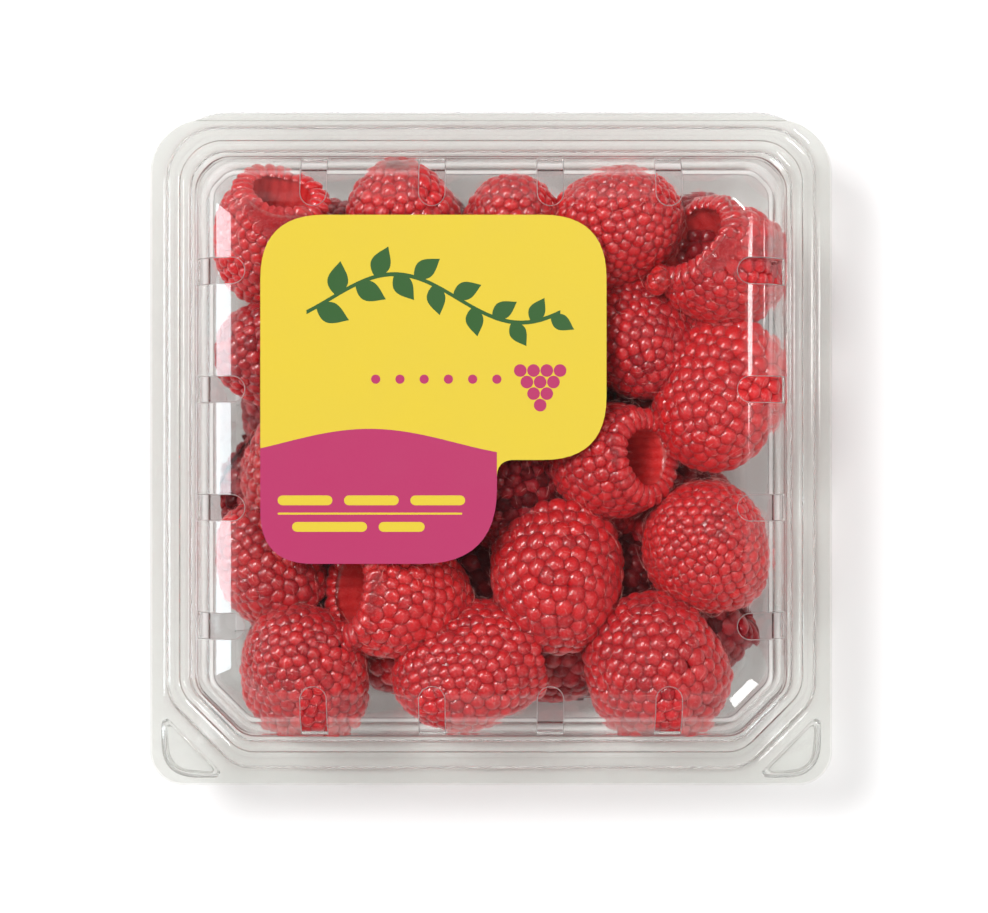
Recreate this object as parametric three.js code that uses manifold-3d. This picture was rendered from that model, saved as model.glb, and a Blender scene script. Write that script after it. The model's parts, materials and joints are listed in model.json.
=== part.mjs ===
// A hinged clamshell punnet of raspberries: a clear tray, its clear lid shut over two layers of berries,
// and a printed label on the lid. Millimetres, +Z up, +Y towards the hinge. The origin is the centre of the
// pack's outline, on the surface that the tray stands on.
import * as THREE from "three";
import { mergeVertices } from "three/addons/utils/BufferGeometryUtils.js";
import Module from "manifold-3d";

// The pack's outline and heights.
const HALF_WIDTH = 60; // the tray's flange, to either side of the middle
const FRONT_Y = -59.2; // the flanges' front edge
const FLANGE_BACK_Y = 57.8; // the flanges' back edge, in front of the hinge
const HINGE_BACK_Y = 59.2; // the back of the fold that joins lid and tray
const RIM_Z = 29; // the height at which lid and tray meet
const LID_RISE = 10.5; // from there to the top of the lid
const WALL = 0.4; // the plastic's thickness
const FLANGE_GAP = 0.3; // between the two flanges
const LID_EDGE = 0.4; // how far the lid's flange stays inside the tray's

// The fold: a thin rod that the lid turns about, between the flanges' ends.
const FOLD_RADIUS = 0.5;
const FOLD_HALF_LENGTH = 54.5;

// The vents: slots that run over the lid's shoulder, and over the tray's bottom edge.
const VENTS_PER_SIDE = 4;
const VENT_PITCH = 21;
const VENT_WIDTH = 4.6;

// The label, measured on the lid's top panel.
const LABEL = { left: -40, right: 20, top: 40.5, step: -2, stepRight: 1, bottom: -20 };
const LABEL_THICKNESS = 0.2;
const LABEL_LIFT = 0.05; // the film of glue under it

const TOP_Z = RIM_Z + LID_RISE;
const ARC_STEPS = 2; // straight pieces in each 45 degree bend of an outline
const EIGHTH = Math.PI / 4;

const wasm = await Module();
wasm.setup();

// A closed geometry as a solid that can be joined and cut.
function solidOf(geometry) {
  const bare = geometry.index ? geometry.toNonIndexed() : geometry.clone();
  bare.deleteAttribute("normal");
  bare.deleteAttribute("uv");
  const merged = mergeVertices(bare, 1e-4);
  return new wasm.Manifold(
    new wasm.Mesh({
      numProp: 3,
      vertProperties: merged.attributes.position.array,
      triVerts: new Uint32Array(merged.index.array),
    }),
  );
}

function geometryOf(solid) {
  const { numProp, numVert, vertProperties, triVerts } = solid.getMesh();
  const position = new Float32Array(numVert * 3);
  for (let i = 0; i < numVert; i++)
    position.set(vertProperties.subarray(i * numProp, i * numProp + 3), i * 3);
  return new THREE.BufferGeometry()
    .setAttribute("position", new THREE.BufferAttribute(position, 3))
    .setIndex(new THREE.BufferAttribute(triVerts, 1));
}

// One outline of the pack at one height, as points that go round anticlockwise seen from above.
// side, front and back are how far it lies inside the flanges' edges. Each corner is cut at 45 degrees,
// by frontCut or backCut, and both angles of the cut are rounded, by frontRound or backRound.
function outline({ side, front, back, frontCut, backCut, frontRound, backRound, z }) {
  const x = HALF_WIDTH - side;
  const corners = [
    { x, y: FRONT_Y + front, heading: 0, cut: frontCut, round: frontRound },
    { x, y: FLANGE_BACK_Y - back, heading: 2, cut: backCut, round: backRound },
    { x: -x, y: FLANGE_BACK_Y - back, heading: 4, cut: backCut, round: backRound },
    { x: -x, y: FRONT_Y + front, heading: 6, cut: frontCut, round: frontRound },
  ];
  return corners.flatMap((corner) => {
    const along = (eighths) => {
      const angle = (corner.heading + eighths) * EIGHTH;
      return new THREE.Vector2(Math.cos(angle), Math.sin(angle));
    };
    const point = new THREE.Vector2(corner.x, corner.y);
    const tangent = corner.round * Math.tan(EIGHTH / 2);
    const bends = [
      { at: point.clone().addScaledVector(along(0), -corner.cut), from: 0 },
      { at: point.clone().addScaledVector(along(2), corner.cut), from: 1 },
    ];
    return bends.flatMap(({ at, from }) => {
      const centre = at
        .clone()
        .addScaledVector(along(from), -tangent)
        .addScaledVector(along(from + 2), corner.round);
      return Array.from({ length: ARC_STEPS + 1 }, (_, step) => {
        const out = along(from - 2 + step / ARC_STEPS);
        const p = centre.clone().addScaledVector(out, corner.round);
        return new THREE.Vector3(p.x, p.y, z);
      });
    });
  });
}

// The stations of the skin's other face, one wall's thickness under it.
function underside(stations) {
  const normals = stations.slice(1).map((b, i) => {
    const a = stations[i];
    return new THREE.Vector2(a.z - b.z, b.side - a.side).normalize();
  });
  return stations.map((s, i) => {
    const before = normals[Math.max(i - 1, 0)];
    const after = normals[Math.min(i, normals.length - 1)];
    const shift = before
      .clone()
      .add(after)
      .multiplyScalar(-WALL / (1 + before.dot(after)));
    const inward = i === 0 ? 0 : shift.x;
    const cutChange = (2 - Math.SQRT2) * inward;
    return {
      side: s.side + inward,
      front: s.front + inward,
      back: s.back + inward,
      frontCut: s.frontCut - cutChange,
      backCut: s.backCut - cutChange,
      frontRound: Math.max(s.frontRound - inward, 0.4),
      backRound: Math.max(s.backRound - inward, 0.4),
      z: s.z + shift.y,
    };
  });
}

// A closed thin shell: the skin's outlines from the flange's edge inwards, and the same under it.
function shell(stations) {
  const upper = stations.map(outline);
  const lower = underside(stations).map(outline);
  const rows = [...upper.slice().reverse(), ...lower];
  const count = rows[0].length;
  const points = rows.flat();
  const middle = (row) => new THREE.Vector3(0, (row[0].y + row[count / 2].y) / 2, row[0].z);
  const top = points.push(middle(rows[0])) - 1;
  const under = points.push(middle(rows.at(-1))) - 1;
  const faces = [];
  for (let i = 0; i < count; i++) {
    const next = (i + 1) % count;
    faces.push(top, i, next);
    for (let row = 0; row + 1 < rows.length; row++) {
      const a = row * count;
      const b = a + count;
      faces.push(a + i, b + i, b + next, a + i, b + next, a + next);
    }
    const last = (rows.length - 1) * count;
    faces.push(under, last + next, last + i);
  }
  return solidOf(new THREE.BufferGeometry().setFromPoints(points).setIndex(faces));
}

// A polygon with each corner rounded by its own radius, as a shape.
function roundedPolygon(corners) {
  const shape = new THREE.Shape();
  corners.forEach(([x, y, radius], i) => {
    const here = new THREE.Vector2(x, y);
    const towards = ([px, py]) =>
      here.clone().addScaledVector(new THREE.Vector2(px - x, py - y).normalize(), radius);
    const start = towards(corners.at(i - 1));
    const end = towards(corners[(i + 1) % corners.length]);
    if (i === 0) shape.moveTo(start.x, start.y);
    else shape.lineTo(start.x, start.y);
    shape.quadraticCurveTo(x, y, end.x, end.y);
  });
  shape.closePath();
  return shape;
}

function plate(shape, low, high) {
  const geometry = new THREE.ExtrudeGeometry(shape, {
    depth: high - low,
    bevelEnabled: false,
    curveSegments: 4,
  });
  return geometry.translate(0, 0, low);
}

// One slot of length from `outer` to `inner`, which end is round, both measured in from the flange's edge
// on the side whose outward direction is `turn` quarter turns from +X.
function slot(turn, offset, outer, inner, low, high) {
  const half = VENT_WIDTH / 2;
  const shape = new THREE.Shape();
  shape.moveTo(-outer, -half);
  shape.lineTo(-outer, half);
  shape.lineTo(-inner + half, half);
  shape.absarc(-inner + half, 0, half, Math.PI / 2, (3 * Math.PI) / 2, false);
  shape.closePath();
  const edges = [HALF_WIDTH, FLANGE_BACK_Y, HALF_WIDTH, -FRONT_Y];
  return plate(shape, low, high)
    .translate(edges[turn], offset, 0)
    .rotateZ((turn * Math.PI) / 2);
}

// The same row of slots on all four sides. The front and back reach in by shift, as the outlines do.
function slots(outer, inner, shift, low, high) {
  const cutters = [];
  for (let turn = 0; turn < 4; turn++)
    for (let i = 0; i < VENTS_PER_SIDE; i++) {
      const offset = (i - (VENTS_PER_SIDE - 1) / 2) * VENT_PITCH;
      const sideways = turn % 2 ? offset : offset * Math.sign(1 - turn);
      const more = shift[turn];
      cutters.push(solidOf(slot(turn, sideways, outer + more, inner + more, low, high)));
    }
  return wasm.Manifold.union(cutters);
}

// A station of a skin: its inset at the sides, its height, and its corners. The front lies a little
// further in than the sides, and the back less far.
const FRONT_SHIFT = 0.6;
const BACK_SHIFT = -1.6;
const SHIFTS = [0, BACK_SHIFT, 0, FRONT_SHIFT]; // to the right, back, left and front

function station(side, z, frontCut, frontRound, backCut, backRound, shifts = SHIFTS) {
  const [, backShift, , frontShift] = shifts;
  return {
    side,
    front: side + frontShift,
    back: side + backShift,
    frontCut,
    frontRound,
    backCut,
    backRound,
    z,
  };
}

const LID_FLANGE_TOP = RIM_Z + FLANGE_GAP / 2 + WALL;
const RIB_TOP = RIM_Z + 2.7;
const GROOVE_Z = RIM_Z + 1.7;
const LEDGE_Z = RIM_Z + 2.5;
const SHOULDER_Z = TOP_Z - 1.9;
const AT_EDGE = [0, 0, 0, 0];
const AT_LID_EDGE = [0, -LID_EDGE, 0, 0];
const AT_RIB = [0, -1.7, 0, 0];

const LID_SKIN = [
  station(LID_EDGE, LID_FLANGE_TOP, 3.3, 5.3, 5.4, 8.8, AT_LID_EDGE),
  station(2.8, LID_FLANGE_TOP, 12.2, 7, 5.4, 8.8, AT_RIB),
  station(3.2, RIB_TOP, 12, 7, 5.2, 8.5, AT_RIB),
  station(5.4, RIB_TOP, 10.6, 6, 4.5, 7),
  station(5.8, GROOVE_Z, 10.4, 6, 4.4, 6.8),
  station(7, GROOVE_Z, 9.4, 5, 3.9, 6),
  station(7.3, LEDGE_Z, 9.2, 5, 3.8, 5.8),
  station(8.3, LEDGE_Z, 8.4, 4.5, 3.6, 5.2),
  station(11.6, SHOULDER_Z, 6, 3.4, 3.3, 3.4),
  station(15.1, TOP_Z, 4.6, 2.6, 2.9, 2.6),
];

const TRAY_SKIN = [
  station(0, RIM_Z - FLANGE_GAP / 2, 3.5, 5.7, 5.6, 9.2, AT_EDGE),
  station(7.6, RIM_Z - FLANGE_GAP / 2, 9.2, 5, 3.8, 5.8),
  station(8.4, RIM_Z - 0.9, 8.6, 4.6, 3.6, 5.4),
  station(9, RIM_Z - 5.4, 8.2, 4.4, 3.6, 5),
  station(10, RIM_Z - 6.4, 7.4, 4.2, 3.6, 4.8),
  station(13.8, 3.4, 5.6, 4, 3.6, 4.4),
  station(16.4, WALL, 4.4, 3.6, 3.2, 4),
  station(20, WALL, 3.6, 3, 3, 3.6),
  station(20.9, 1.6, 3.4, 2.8, 2.8, 3.4),
];

// The snap pads: hollow rounded triangles on the two front corner tabs. The tray's stand up into the lid's.
const PAD_RISE = 0.9;
const PAD_GAP = 0.3;
const PAD = [
  [57.3, FRONT_Y + 2, 4],
  [57.3, FRONT_Y + 11.6, 1.4],
  [47.9, FRONT_Y + 2, 1.4],
];

function snapPad(sideSign, inset, low, high) {
  const middle = [54.2, FRONT_Y + 5.2];
  const corners = PAD.map(([x, y, radius]) => {
    const reach = Math.hypot(x - middle[0], y - middle[1]);
    const share = 1 - (inset * 1.6) / reach;
    return [
      sideSign * (middle[0] + (x - middle[0]) * share),
      middle[1] + (y - middle[1]) * share,
      radius * share,
    ];
  });
  return solidOf(plate(roundedPolygon(sideSign > 0 ? corners : corners.reverse()), low, high));
}

// A skin with both its pads, whose outside lies `inset` inside the drawn triangle.
function withPads(skin, inset, flangeTop) {
  let made = skin;
  for (const sign of [-1, 1]) {
    made = made
      .add(snapPad(sign, inset, flangeTop - WALL, flangeTop + PAD_RISE))
      .subtract(snapPad(sign, inset + WALL, flangeTop - WALL - 1, flangeTop + PAD_RISE - WALL));
  }
  return made;
}

function lidSolid() {
  const lid = withPads(shell(LID_SKIN), 0, LID_FLANGE_TOP);
  const ventOuter = 8.1;
  const ventInner = 17.6;
  return lid.subtract(slots(ventOuter, ventInner, SHIFTS, LEDGE_Z + 0.5, TOP_Z + 1));
}

// The fold between the flanges' ends. It belongs to the tray, and the lid's edge turns round it.
function foldSolid() {
  const y = HINGE_BACK_Y - FOLD_RADIUS;
  const rod = new THREE.CylinderGeometry(FOLD_RADIUS, FOLD_RADIUS, 2 * FOLD_HALF_LENGTH, 12)
    .rotateZ(Math.PI / 2)
    .translate(0, y, RIM_Z);
  const flangeTop = RIM_Z - FLANGE_GAP / 2;
  const web = new THREE.BoxGeometry(2 * FOLD_HALF_LENGTH, y - FLANGE_BACK_Y + 0.6, WALL)
    .translate(0, (y + FLANGE_BACK_Y - 0.6) / 2, flangeTop - WALL / 2);
  return solidOf(rod).add(solidOf(web));
}

function traySolid() {
  const ventOuter = 12.6;
  const ventInner = 19.2;
  return withPads(shell(TRAY_SKIN), WALL + PAD_GAP, RIM_Z - FLANGE_GAP / 2)
    .subtract(slots(ventOuter, ventInner, SHIFTS, -1, 4.6))
    .add(foldSolid());
}

function labelGeometry() {
  const { left, right, top, step, stepRight, bottom } = LABEL;
  const shape = roundedPolygon([
    [left, top, 11],
    [left, bottom, 9],
    [stepRight, bottom, 13],
    [stepRight, step, 3],
    [right, step, 11],
    [right, top, 11],
  ]);
  return plate(shape, TOP_Z + LABEL_LIFT, TOP_Z + LABEL_LIFT + LABEL_THICKNESS);
}

// The berries. Each has a width and a length from its open base to its tip. heading is the direction of the
// tip seen from above, in degrees from +X, and pitch is how far the tip points up. drop is how far the berry
// sits below the lid, and open says that its hollow shows.
const LID_CLEARANCE = 0.6;
const UPPER_BERRIES = [
  { x: -38.5, y: 44, width: 22, length: 22, heading: 150, pitch: -38, drop: 0.5, open: true },
  { x: -43, y: 31, width: 21, length: 22, heading: 205, pitch: 15, drop: 2 },
  { x: -16, y: 40, width: 21, length: 23, heading: 95, pitch: 28, drop: 0 },
  { x: 3.6, y: 39.5, width: 19, length: 21, heading: 85, pitch: 50, drop: 1 },
  { x: 23, y: 39.5, width: 22.5, length: 23, heading: 30, pitch: 40, drop: 0 },
  { x: 41, y: 32, width: 23, length: 25, heading: -62, pitch: -25, drop: 0.5, open: true },
  { x: -41, y: 17, width: 21, length: 22, heading: 190, pitch: 8, drop: 4 },
  { x: -24, y: 22, width: 22, length: 23, heading: 60, pitch: 30, drop: 1 },
  { x: -2, y: 19, width: 23, length: 22, heading: 200, pitch: 35, drop: 1 },
  { x: 26.5, y: 19, width: 20.5, length: 22, heading: -75, pitch: 30, drop: 3.5 },
  { x: 39.8, y: 8, width: 23, length: 25.5, heading: -105, pitch: 25, drop: 0 },
  { x: -39, y: 0, width: 20.5, length: 23, heading: 75, pitch: 18, drop: 3 },
  { x: -18, y: 1, width: 22, length: 22, heading: 20, pitch: 45, drop: 0.5 },
  { x: 3, y: -5, width: 21, length: 22, heading: 100, pitch: 35, drop: 5 },
  { x: 21.5, y: -2, width: 21.5, length: 22, heading: 185, pitch: -32, drop: 2.5, open: true },
  { x: 38.2, y: -16.7, width: 23.6, length: 23, heading: 80, pitch: 72, drop: 0 },
  { x: -41, y: -20, width: 21, length: 23, heading: 120, pitch: 15, drop: 3.5 },
  { x: -16, y: -26, width: 21.5, length: 25, heading: -22, pitch: -30, drop: 1.5, open: true },
  { x: 11.7, y: -24.2, width: 24.5, length: 24.5, heading: -88, pitch: 25, drop: 0 },
  { x: -33.4, y: -38, width: 22.4, length: 23, heading: 105, pitch: 35, drop: 0 },
  { x: -5.1, y: -39, width: 21.5, length: 25.5, heading: 198, pitch: 14, drop: 0.5 },
  { x: 28.8, y: -37.2, width: 25.5, length: 24.5, heading: 98, pitch: 28, drop: 0 },
];
const LOWER_PER_ROW = 4;
const LOWER_PITCH = 22.8;
const LOWER_Z = 13.4;
const GOLDEN = 0.618034;

// The same spread of values for every berry number, without chance.
const spread = (number, low, high) => low + (high - low) * ((number * GOLDEN) % 1);

function tipDirection({ heading, pitch }) {
  const across = THREE.MathUtils.degToRad(heading);
  const up = THREE.MathUtils.degToRad(pitch);
  return new THREE.Vector3(
    Math.cos(across) * Math.cos(up),
    Math.sin(across) * Math.cos(up),
    Math.sin(up),
  );
}

function halfHeight({ width, length, pitch }) {
  const up = THREE.MathUtils.degToRad(pitch);
  return Math.hypot((length / 2) * Math.sin(up), (width / 2) * Math.cos(up));
}

function upperLayer() {
  const ceiling = TOP_Z - WALL - LID_CLEARANCE;
  return UPPER_BERRIES.map((berry) => ({
    ...berry,
    ...UPPER_DRUPLETS,
    z: ceiling - berry.drop - halfHeight(berry),
  }));
}

function lowerLayer() {
  const middle = (LOWER_PER_ROW - 1) / 2;
  return Array.from({ length: LOWER_PER_ROW ** 2 }, (_, i) => {
    const column = i % LOWER_PER_ROW;
    const row = Math.floor(i / LOWER_PER_ROW);
    return {
      ...LOWER_DRUPLETS,
      x: (column - middle) * LOWER_PITCH + spread(3 * i + 1, -1.6, 1.6),
      y: (row - middle) * LOWER_PITCH + spread(3 * i + 2, -1.6, 1.6),
      z: LOWER_Z + spread(3 * i + 3, -0.8, 1.6),
      width: spread(5 * i + 1, 21, 23.5),
      length: spread(5 * i + 2, 22, 24.5),
      heading: spread(7 * i + 1, 0, 360),
      pitch: spread(7 * i + 2, -30, 60),
    };
  });
}

// A raspberry's half width, as a share of its widest, from the base at 0 to the tip at 1.
function berryWidthAt(along) {
  const widest = 0.36;
  const base = 0.8;
  if (along < widest) return base + (1 - base) * Math.sin(((along / widest) * Math.PI) / 2);
  const past = (along - widest) / (1 - widest);
  return Math.sqrt(Math.max(1 - past ** 2.3, 0));
}

// A berry along +Z with its middle at the origin. Rows of druplets, each a low six-sided cone, go round it
// and step by half a druplet from row to row. The berries on top have more of them than those beneath.
const UPPER_DRUPLETS = { around: 6, rows: 4 };
const LOWER_DRUPLETS = { around: 5, rows: 2 };
const VALLEY = 0.9; // the berry's size between druplets, as a share of its size over them

function berryGeometry({ width, length, open, around, rows }) {
  const points = [];
  const faces = [];
  const put = (share, angle, z) =>
    points.push(
      new THREE.Vector3(
        (Math.cos(angle) * share * width) / 2,
        (Math.sin(angle) * share * width) / 2,
        (z - 0.5) * length,
      ),
    ) - 1;
  const round = 2 * around;
  const half = Math.PI / around;
  const rowHeight = 0.94 / rows;
  // Line k is the zigzag valley under row k, and the last one lies over the top row.
  const lines = Array.from({ length: rows + 1 }, (_, k) =>
    Array.from({ length: round }, (_, i) => {
      const overDruplet = (i + k) % 2 === 1;
      const inner = k === 0 || k === rows ? 0 : rowHeight / 6;
      const along = k * rowHeight + (overDruplet ? inner : -inner);
      return put(VALLEY * berryWidthAt(along), i * half, along);
    }),
  );
  for (let row = 0; row < rows; row++)
    for (let i = row % 2; i < round; i += 2) {
      const along = (row + 0.5) * rowHeight;
      const centre = put(berryWidthAt(along), i * half, along);
      const left = (i + round - 1) % round;
      const right = (i + 1) % round;
      const low = lines[row];
      const high = lines[row + 1];
      const hexagon = [low[left], low[i], low[right], high[right], high[i], high[left]];
      hexagon.forEach((corner, n) => faces.push(centre, corner, hexagon[(n + 1) % 6]));
    }
  const tip = put(0, 0, 1);
  const last = lines[rows];
  for (let i = 0; i < round; i++) faces.push(tip, last[i], last[(i + 1) % round]);
  closeBase(lines[0], open, put, faces, half);
  return new THREE.BufferGeometry().setFromPoints(points).setIndex(faces);
}

// The base: a shallow dish, or the hollow that the core of the plant has left.
function closeBase(rim, open, put, faces, half) {
  const rings = open ? [[0.5, 0.02], [0.4, 0.3], [0.25, 0.55]] : [[0.5, 0.03]];
  let outer = rim;
  for (const [share, depth] of rings) {
    const inner = rim.map((_, i) => put(share, i * half, depth));
    outer.forEach((corner, i) => {
      const next = (i + 1) % outer.length;
      faces.push(corner, inner[next], outer[next], corner, inner[i], inner[next]);
    });
    outer = inner;
  }
  const floor = put(0, 0, rings.at(-1)[1] + 0.05);
  outer.forEach((corner, i) => faces.push(floor, outer[(i + 1) % outer.length], corner));
}

function berrySolid(berry) {
  const turn = new THREE.Quaternion().setFromUnitVectors(
    new THREE.Vector3(0, 0, 1),
    tipDirection(berry),
  );
  const geometry = berryGeometry(berry).applyQuaternion(turn).translate(berry.x, berry.y, berry.z);
  return solidOf(geometry);
}

// The room inside the shut pack, with a little air left next to the plastic.
const AIR = 0.35;
function roomSolid() {
  const inside = (stations) =>
    stations.map((s) => ({ ...s, side: s.side + AIR, front: s.front + AIR, back: s.back + AIR }));
  const floorZ = TRAY_SKIN.at(-1).z + AIR;
  const tray = inside(TRAY_SKIN.slice(1, -3)).reverse();
  const lid = inside(underside(LID_SKIN).slice(-3));
  const rows = [
    { ...tray[0], z: floorZ },
    { ...tray[0], z: 3.4 + AIR },
    ...tray.slice(1),
    ...lid.map((s) => ({ ...s, z: s.z - AIR })),
  ].map(outline);
  const count = rows[0].length;
  const points = rows.flat();
  const floor = points.push(new THREE.Vector3(0, 0, floorZ)) - 1;
  const roof = points.push(new THREE.Vector3(0, 0, rows.at(-1)[0].z)) - 1;
  const faces = [];
  for (let i = 0; i < count; i++) {
    const next = (i + 1) % count;
    const last = (rows.length - 1) * count;
    faces.push(floor, next, i, roof, last + i, last + next);
    for (let row = 0; row + 1 < rows.length; row++) {
      const a = row * count;
      const b = a + count;
      faces.push(a + i, a + next, b + next, a + i, b + next, b + i);
    }
  }
  return solidOf(new THREE.BufferGeometry().setFromPoints(points).setIndex(faces));
}

// What the berries hide: a block between the layers, smaller than the heap.
function coreSolid() {
  const [width, depth, low, high] = [70, 68, 6.5, 20.5];
  const block = new THREE.BoxGeometry(width, depth, high - low).translate(0, 0, (low + high) / 2);
  return solidOf(block);
}

function berriesSolid() {
  const berries = [...upperLayer(), ...lowerLayer()].map(berrySolid);
  const heap = wasm.Manifold.union([coreSolid(), ...berries]).intersect(roomSolid());
  // A pocket shut in between berries comes out as a body of its own, turned inside out, and is left out.
  const bodies = heap.decompose().sort((a, b) => b.volume() - a.volume());
  return bodies[0];
}

const clearPlastic = { color: 0xe9ece9, roughness: 0.08, metalness: 0, transparent: true, opacity: 0.35 };

function mesh(name, geometry, look) {
  const made = new THREE.Mesh(geometry, new THREE.MeshStandardMaterial(look));
  made.name = name;
  return made;
}

const punnet = new THREE.Group();
punnet.add(
  mesh("tray", geometryOf(traySolid()), clearPlastic),
  mesh("berries", geometryOf(berriesSolid()), { color: 0xb5263a, roughness: 0.5, metalness: 0 }),
  mesh("lid", geometryOf(lidSolid()), clearPlastic),
  mesh("label", labelGeometry(), { color: 0xf6dc45, roughness: 0.45, metalness: 0 }),
);

export default punnet;
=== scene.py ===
# %% [markdown]
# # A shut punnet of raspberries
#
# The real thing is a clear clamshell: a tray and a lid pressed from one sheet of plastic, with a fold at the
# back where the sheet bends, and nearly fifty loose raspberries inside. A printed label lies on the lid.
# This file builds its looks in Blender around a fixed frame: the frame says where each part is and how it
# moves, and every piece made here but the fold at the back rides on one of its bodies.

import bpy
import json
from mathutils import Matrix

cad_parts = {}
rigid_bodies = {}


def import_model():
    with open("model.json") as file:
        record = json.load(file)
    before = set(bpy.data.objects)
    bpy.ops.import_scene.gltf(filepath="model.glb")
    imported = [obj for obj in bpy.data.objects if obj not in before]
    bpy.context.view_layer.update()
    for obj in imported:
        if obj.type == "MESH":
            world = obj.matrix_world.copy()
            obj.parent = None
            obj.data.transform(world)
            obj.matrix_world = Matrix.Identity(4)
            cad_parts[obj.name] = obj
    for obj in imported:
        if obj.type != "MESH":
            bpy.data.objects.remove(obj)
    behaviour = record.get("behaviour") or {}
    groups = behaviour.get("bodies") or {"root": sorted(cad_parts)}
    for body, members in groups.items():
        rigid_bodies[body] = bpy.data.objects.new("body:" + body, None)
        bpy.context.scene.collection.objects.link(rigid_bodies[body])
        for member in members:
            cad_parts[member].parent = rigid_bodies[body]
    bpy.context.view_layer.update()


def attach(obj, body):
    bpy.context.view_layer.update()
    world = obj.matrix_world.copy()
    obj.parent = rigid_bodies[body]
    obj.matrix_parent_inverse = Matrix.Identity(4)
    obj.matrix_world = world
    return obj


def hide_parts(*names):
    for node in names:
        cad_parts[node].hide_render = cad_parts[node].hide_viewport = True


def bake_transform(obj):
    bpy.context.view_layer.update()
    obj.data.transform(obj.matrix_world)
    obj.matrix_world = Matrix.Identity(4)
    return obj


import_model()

# %% [markdown]
# ## Sizes
#
# All the sizes are in millimetres, because that is how a punnet is drawn, and MM turns them into Blender's
# metres. The origin is the middle of the pack on the table, with +Y towards the fold at the back.

# %% The pack's sizes
import json
import math

import bpy
import numpy as np
from mathutils import Vector

MM = 0.001
HALF_WIDTH = 60.0
FRONT_Y = -59.2
FLANGE_BACK_Y = 57.8
RIM_Z = 29.0
TOP_Z = RIM_Z + 10.5
WALL = 0.4
FLANGE_GAP = 0.3
LID_EDGE = 0.4
FOLD_Y = 58.7
FOLD_RADIUS = 0.5
FOLD_HALF_LENGTH = 52.0
FOLD_TAPER = 5.0
print("pack:", 2 * HALF_WIDTH, "mm wide and", TOP_Z, "mm high")

# %% [markdown]
# ## From points to a piece
#
# Nearly every piece is a mesh whose points come out of a formula, so one helper turns points and faces into
# an object. It shades smoothly and keeps an edge sharp where two faces meet at more than a given angle. Two
# more take up what comes back often: the band of quads between two rows of points, and the curve that rounds
# a corner.


# %% Bands of quads and rounded corners
def band(a, b, count):
    pairs = [(i, (i + 1) % count) for i in range(count)]
    return [(a + i, b + i, b + j, a + j) for i, j in pairs]


def band_back(a, b, count):
    pairs = [(i, (i + 1) % count) for i in range(count)]
    return [(a + i, a + j, b + j, b + i) for i, j in pairs]


def corner_curve(start, corner, end, steps):
    for t in np.linspace(0, 1, steps + 1):
        yield (1 - t) ** 2 * start + 2 * t * (1 - t) * corner + t * t * end


def rounded(corners, steps):
    outline = []
    for i, (here, radius) in enumerate(corners):
        ends = []
        for other, _ in (corners[i - 1], corners[(i + 1) % len(corners)]):
            arm = other - here
            ends.append(here + arm / np.hypot(*arm) * radius)
        outline += corner_curve(ends[0], here, ends[1], steps)
    return outline


# %% A mesh piece from points
def mesh_piece(name, points, faces, material, sharp=35.0):
    mesh = bpy.data.meshes.new(name)
    mesh.from_pydata((np.asarray(points, float) * MM).tolist(), [], [list(f) for f in faces])
    piece = bpy.data.objects.new(name, mesh)
    bpy.context.scene.collection.objects.link(piece)
    mesh.materials.append(material)
    mesh.shade_smooth()
    mesh.set_sharp_from_angle(angle=math.radians(sharp))
    return piece


def place(piece, body, slot, *nodes):
    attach(piece, body)
    if nodes:
        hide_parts(*nodes)
    print(piece.name, "has", len(piece.data.vertices), "points and rides on", body)
    return piece


# %% [markdown]
# ## The skin of the clamshell
#
# The plastic is a thermoformed skin: it follows one section all round, with a flange, a raised rib, a groove,
# a ledge, a steep wall, a shoulder and a flat top. So the skin is made as rings, one for each fold of that
# section. A ring is a rectangle whose corners are cut at 45 degrees and rounded. The front corners are cut
# wide, which leaves a three-cornered tab outside the rib, and the back corners are nearly plain rounds.


# %% One ring of the skin
ARC_STEPS = 7
EIGHTH = math.pi / 4


def heading_of(eighths):
    return np.array([math.cos(eighths * EIGHTH), math.sin(eighths * EIGHTH)])


def ring(side, front, back, front_cut, back_cut, front_round, back_round, z):
    x = HALF_WIDTH - side
    low, high = FRONT_Y + front, FLANGE_BACK_Y - back
    corners = (
        (x, low, 0, front_cut, front_round),
        (x, high, 2, back_cut, back_round),
        (-x, high, 4, back_cut, back_round),
        (-x, low, 6, front_cut, front_round),
    )
    points = []
    for corner_x, corner_y, heading, cut, radius in corners:
        corner = np.array([corner_x, corner_y])
        tangent = radius * math.tan(EIGHTH / 2)
        starts = (
            (corner - cut * heading_of(heading), heading),
            (corner + cut * heading_of(heading + 2), heading + 1),
        )
        for bend, turn in starts:
            centre = bend - tangent * heading_of(turn) + radius * heading_of(turn + 2)
            for step in range(ARC_STEPS + 1):
                out = heading_of(turn - 2 + step / ARC_STEPS)
                points.append((*(centre + radius * out), z))
    return points


print("one ring has", 8 * (ARC_STEPS + 1), "points")

# %% [markdown]
# The section is a list of stations. Each says how far the ring lies inside the flange's edge and how its
# corners are cut. The front of the pack is a little deeper than the sides, and the back less deep, so a
# station carries its own inset for each.

# %% The sections of lid and tray
SHIFTS = (0.0, -1.6, 0.6)  # more inset at the side, back and front
AT_EDGE = (0.0, 0.0, 0.0)
AT_LID_EDGE = (0.0, -LID_EDGE, 0.0)
AT_RIB = (0.0, -1.7, 0.0)


def station(side, z, front_cut, front_round, back_cut, back_round, shifts=SHIFTS):
    front, back = side + shifts[2], side + shifts[1]
    return np.array([side, front, back, front_cut, back_cut, front_round, back_round, z])


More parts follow.
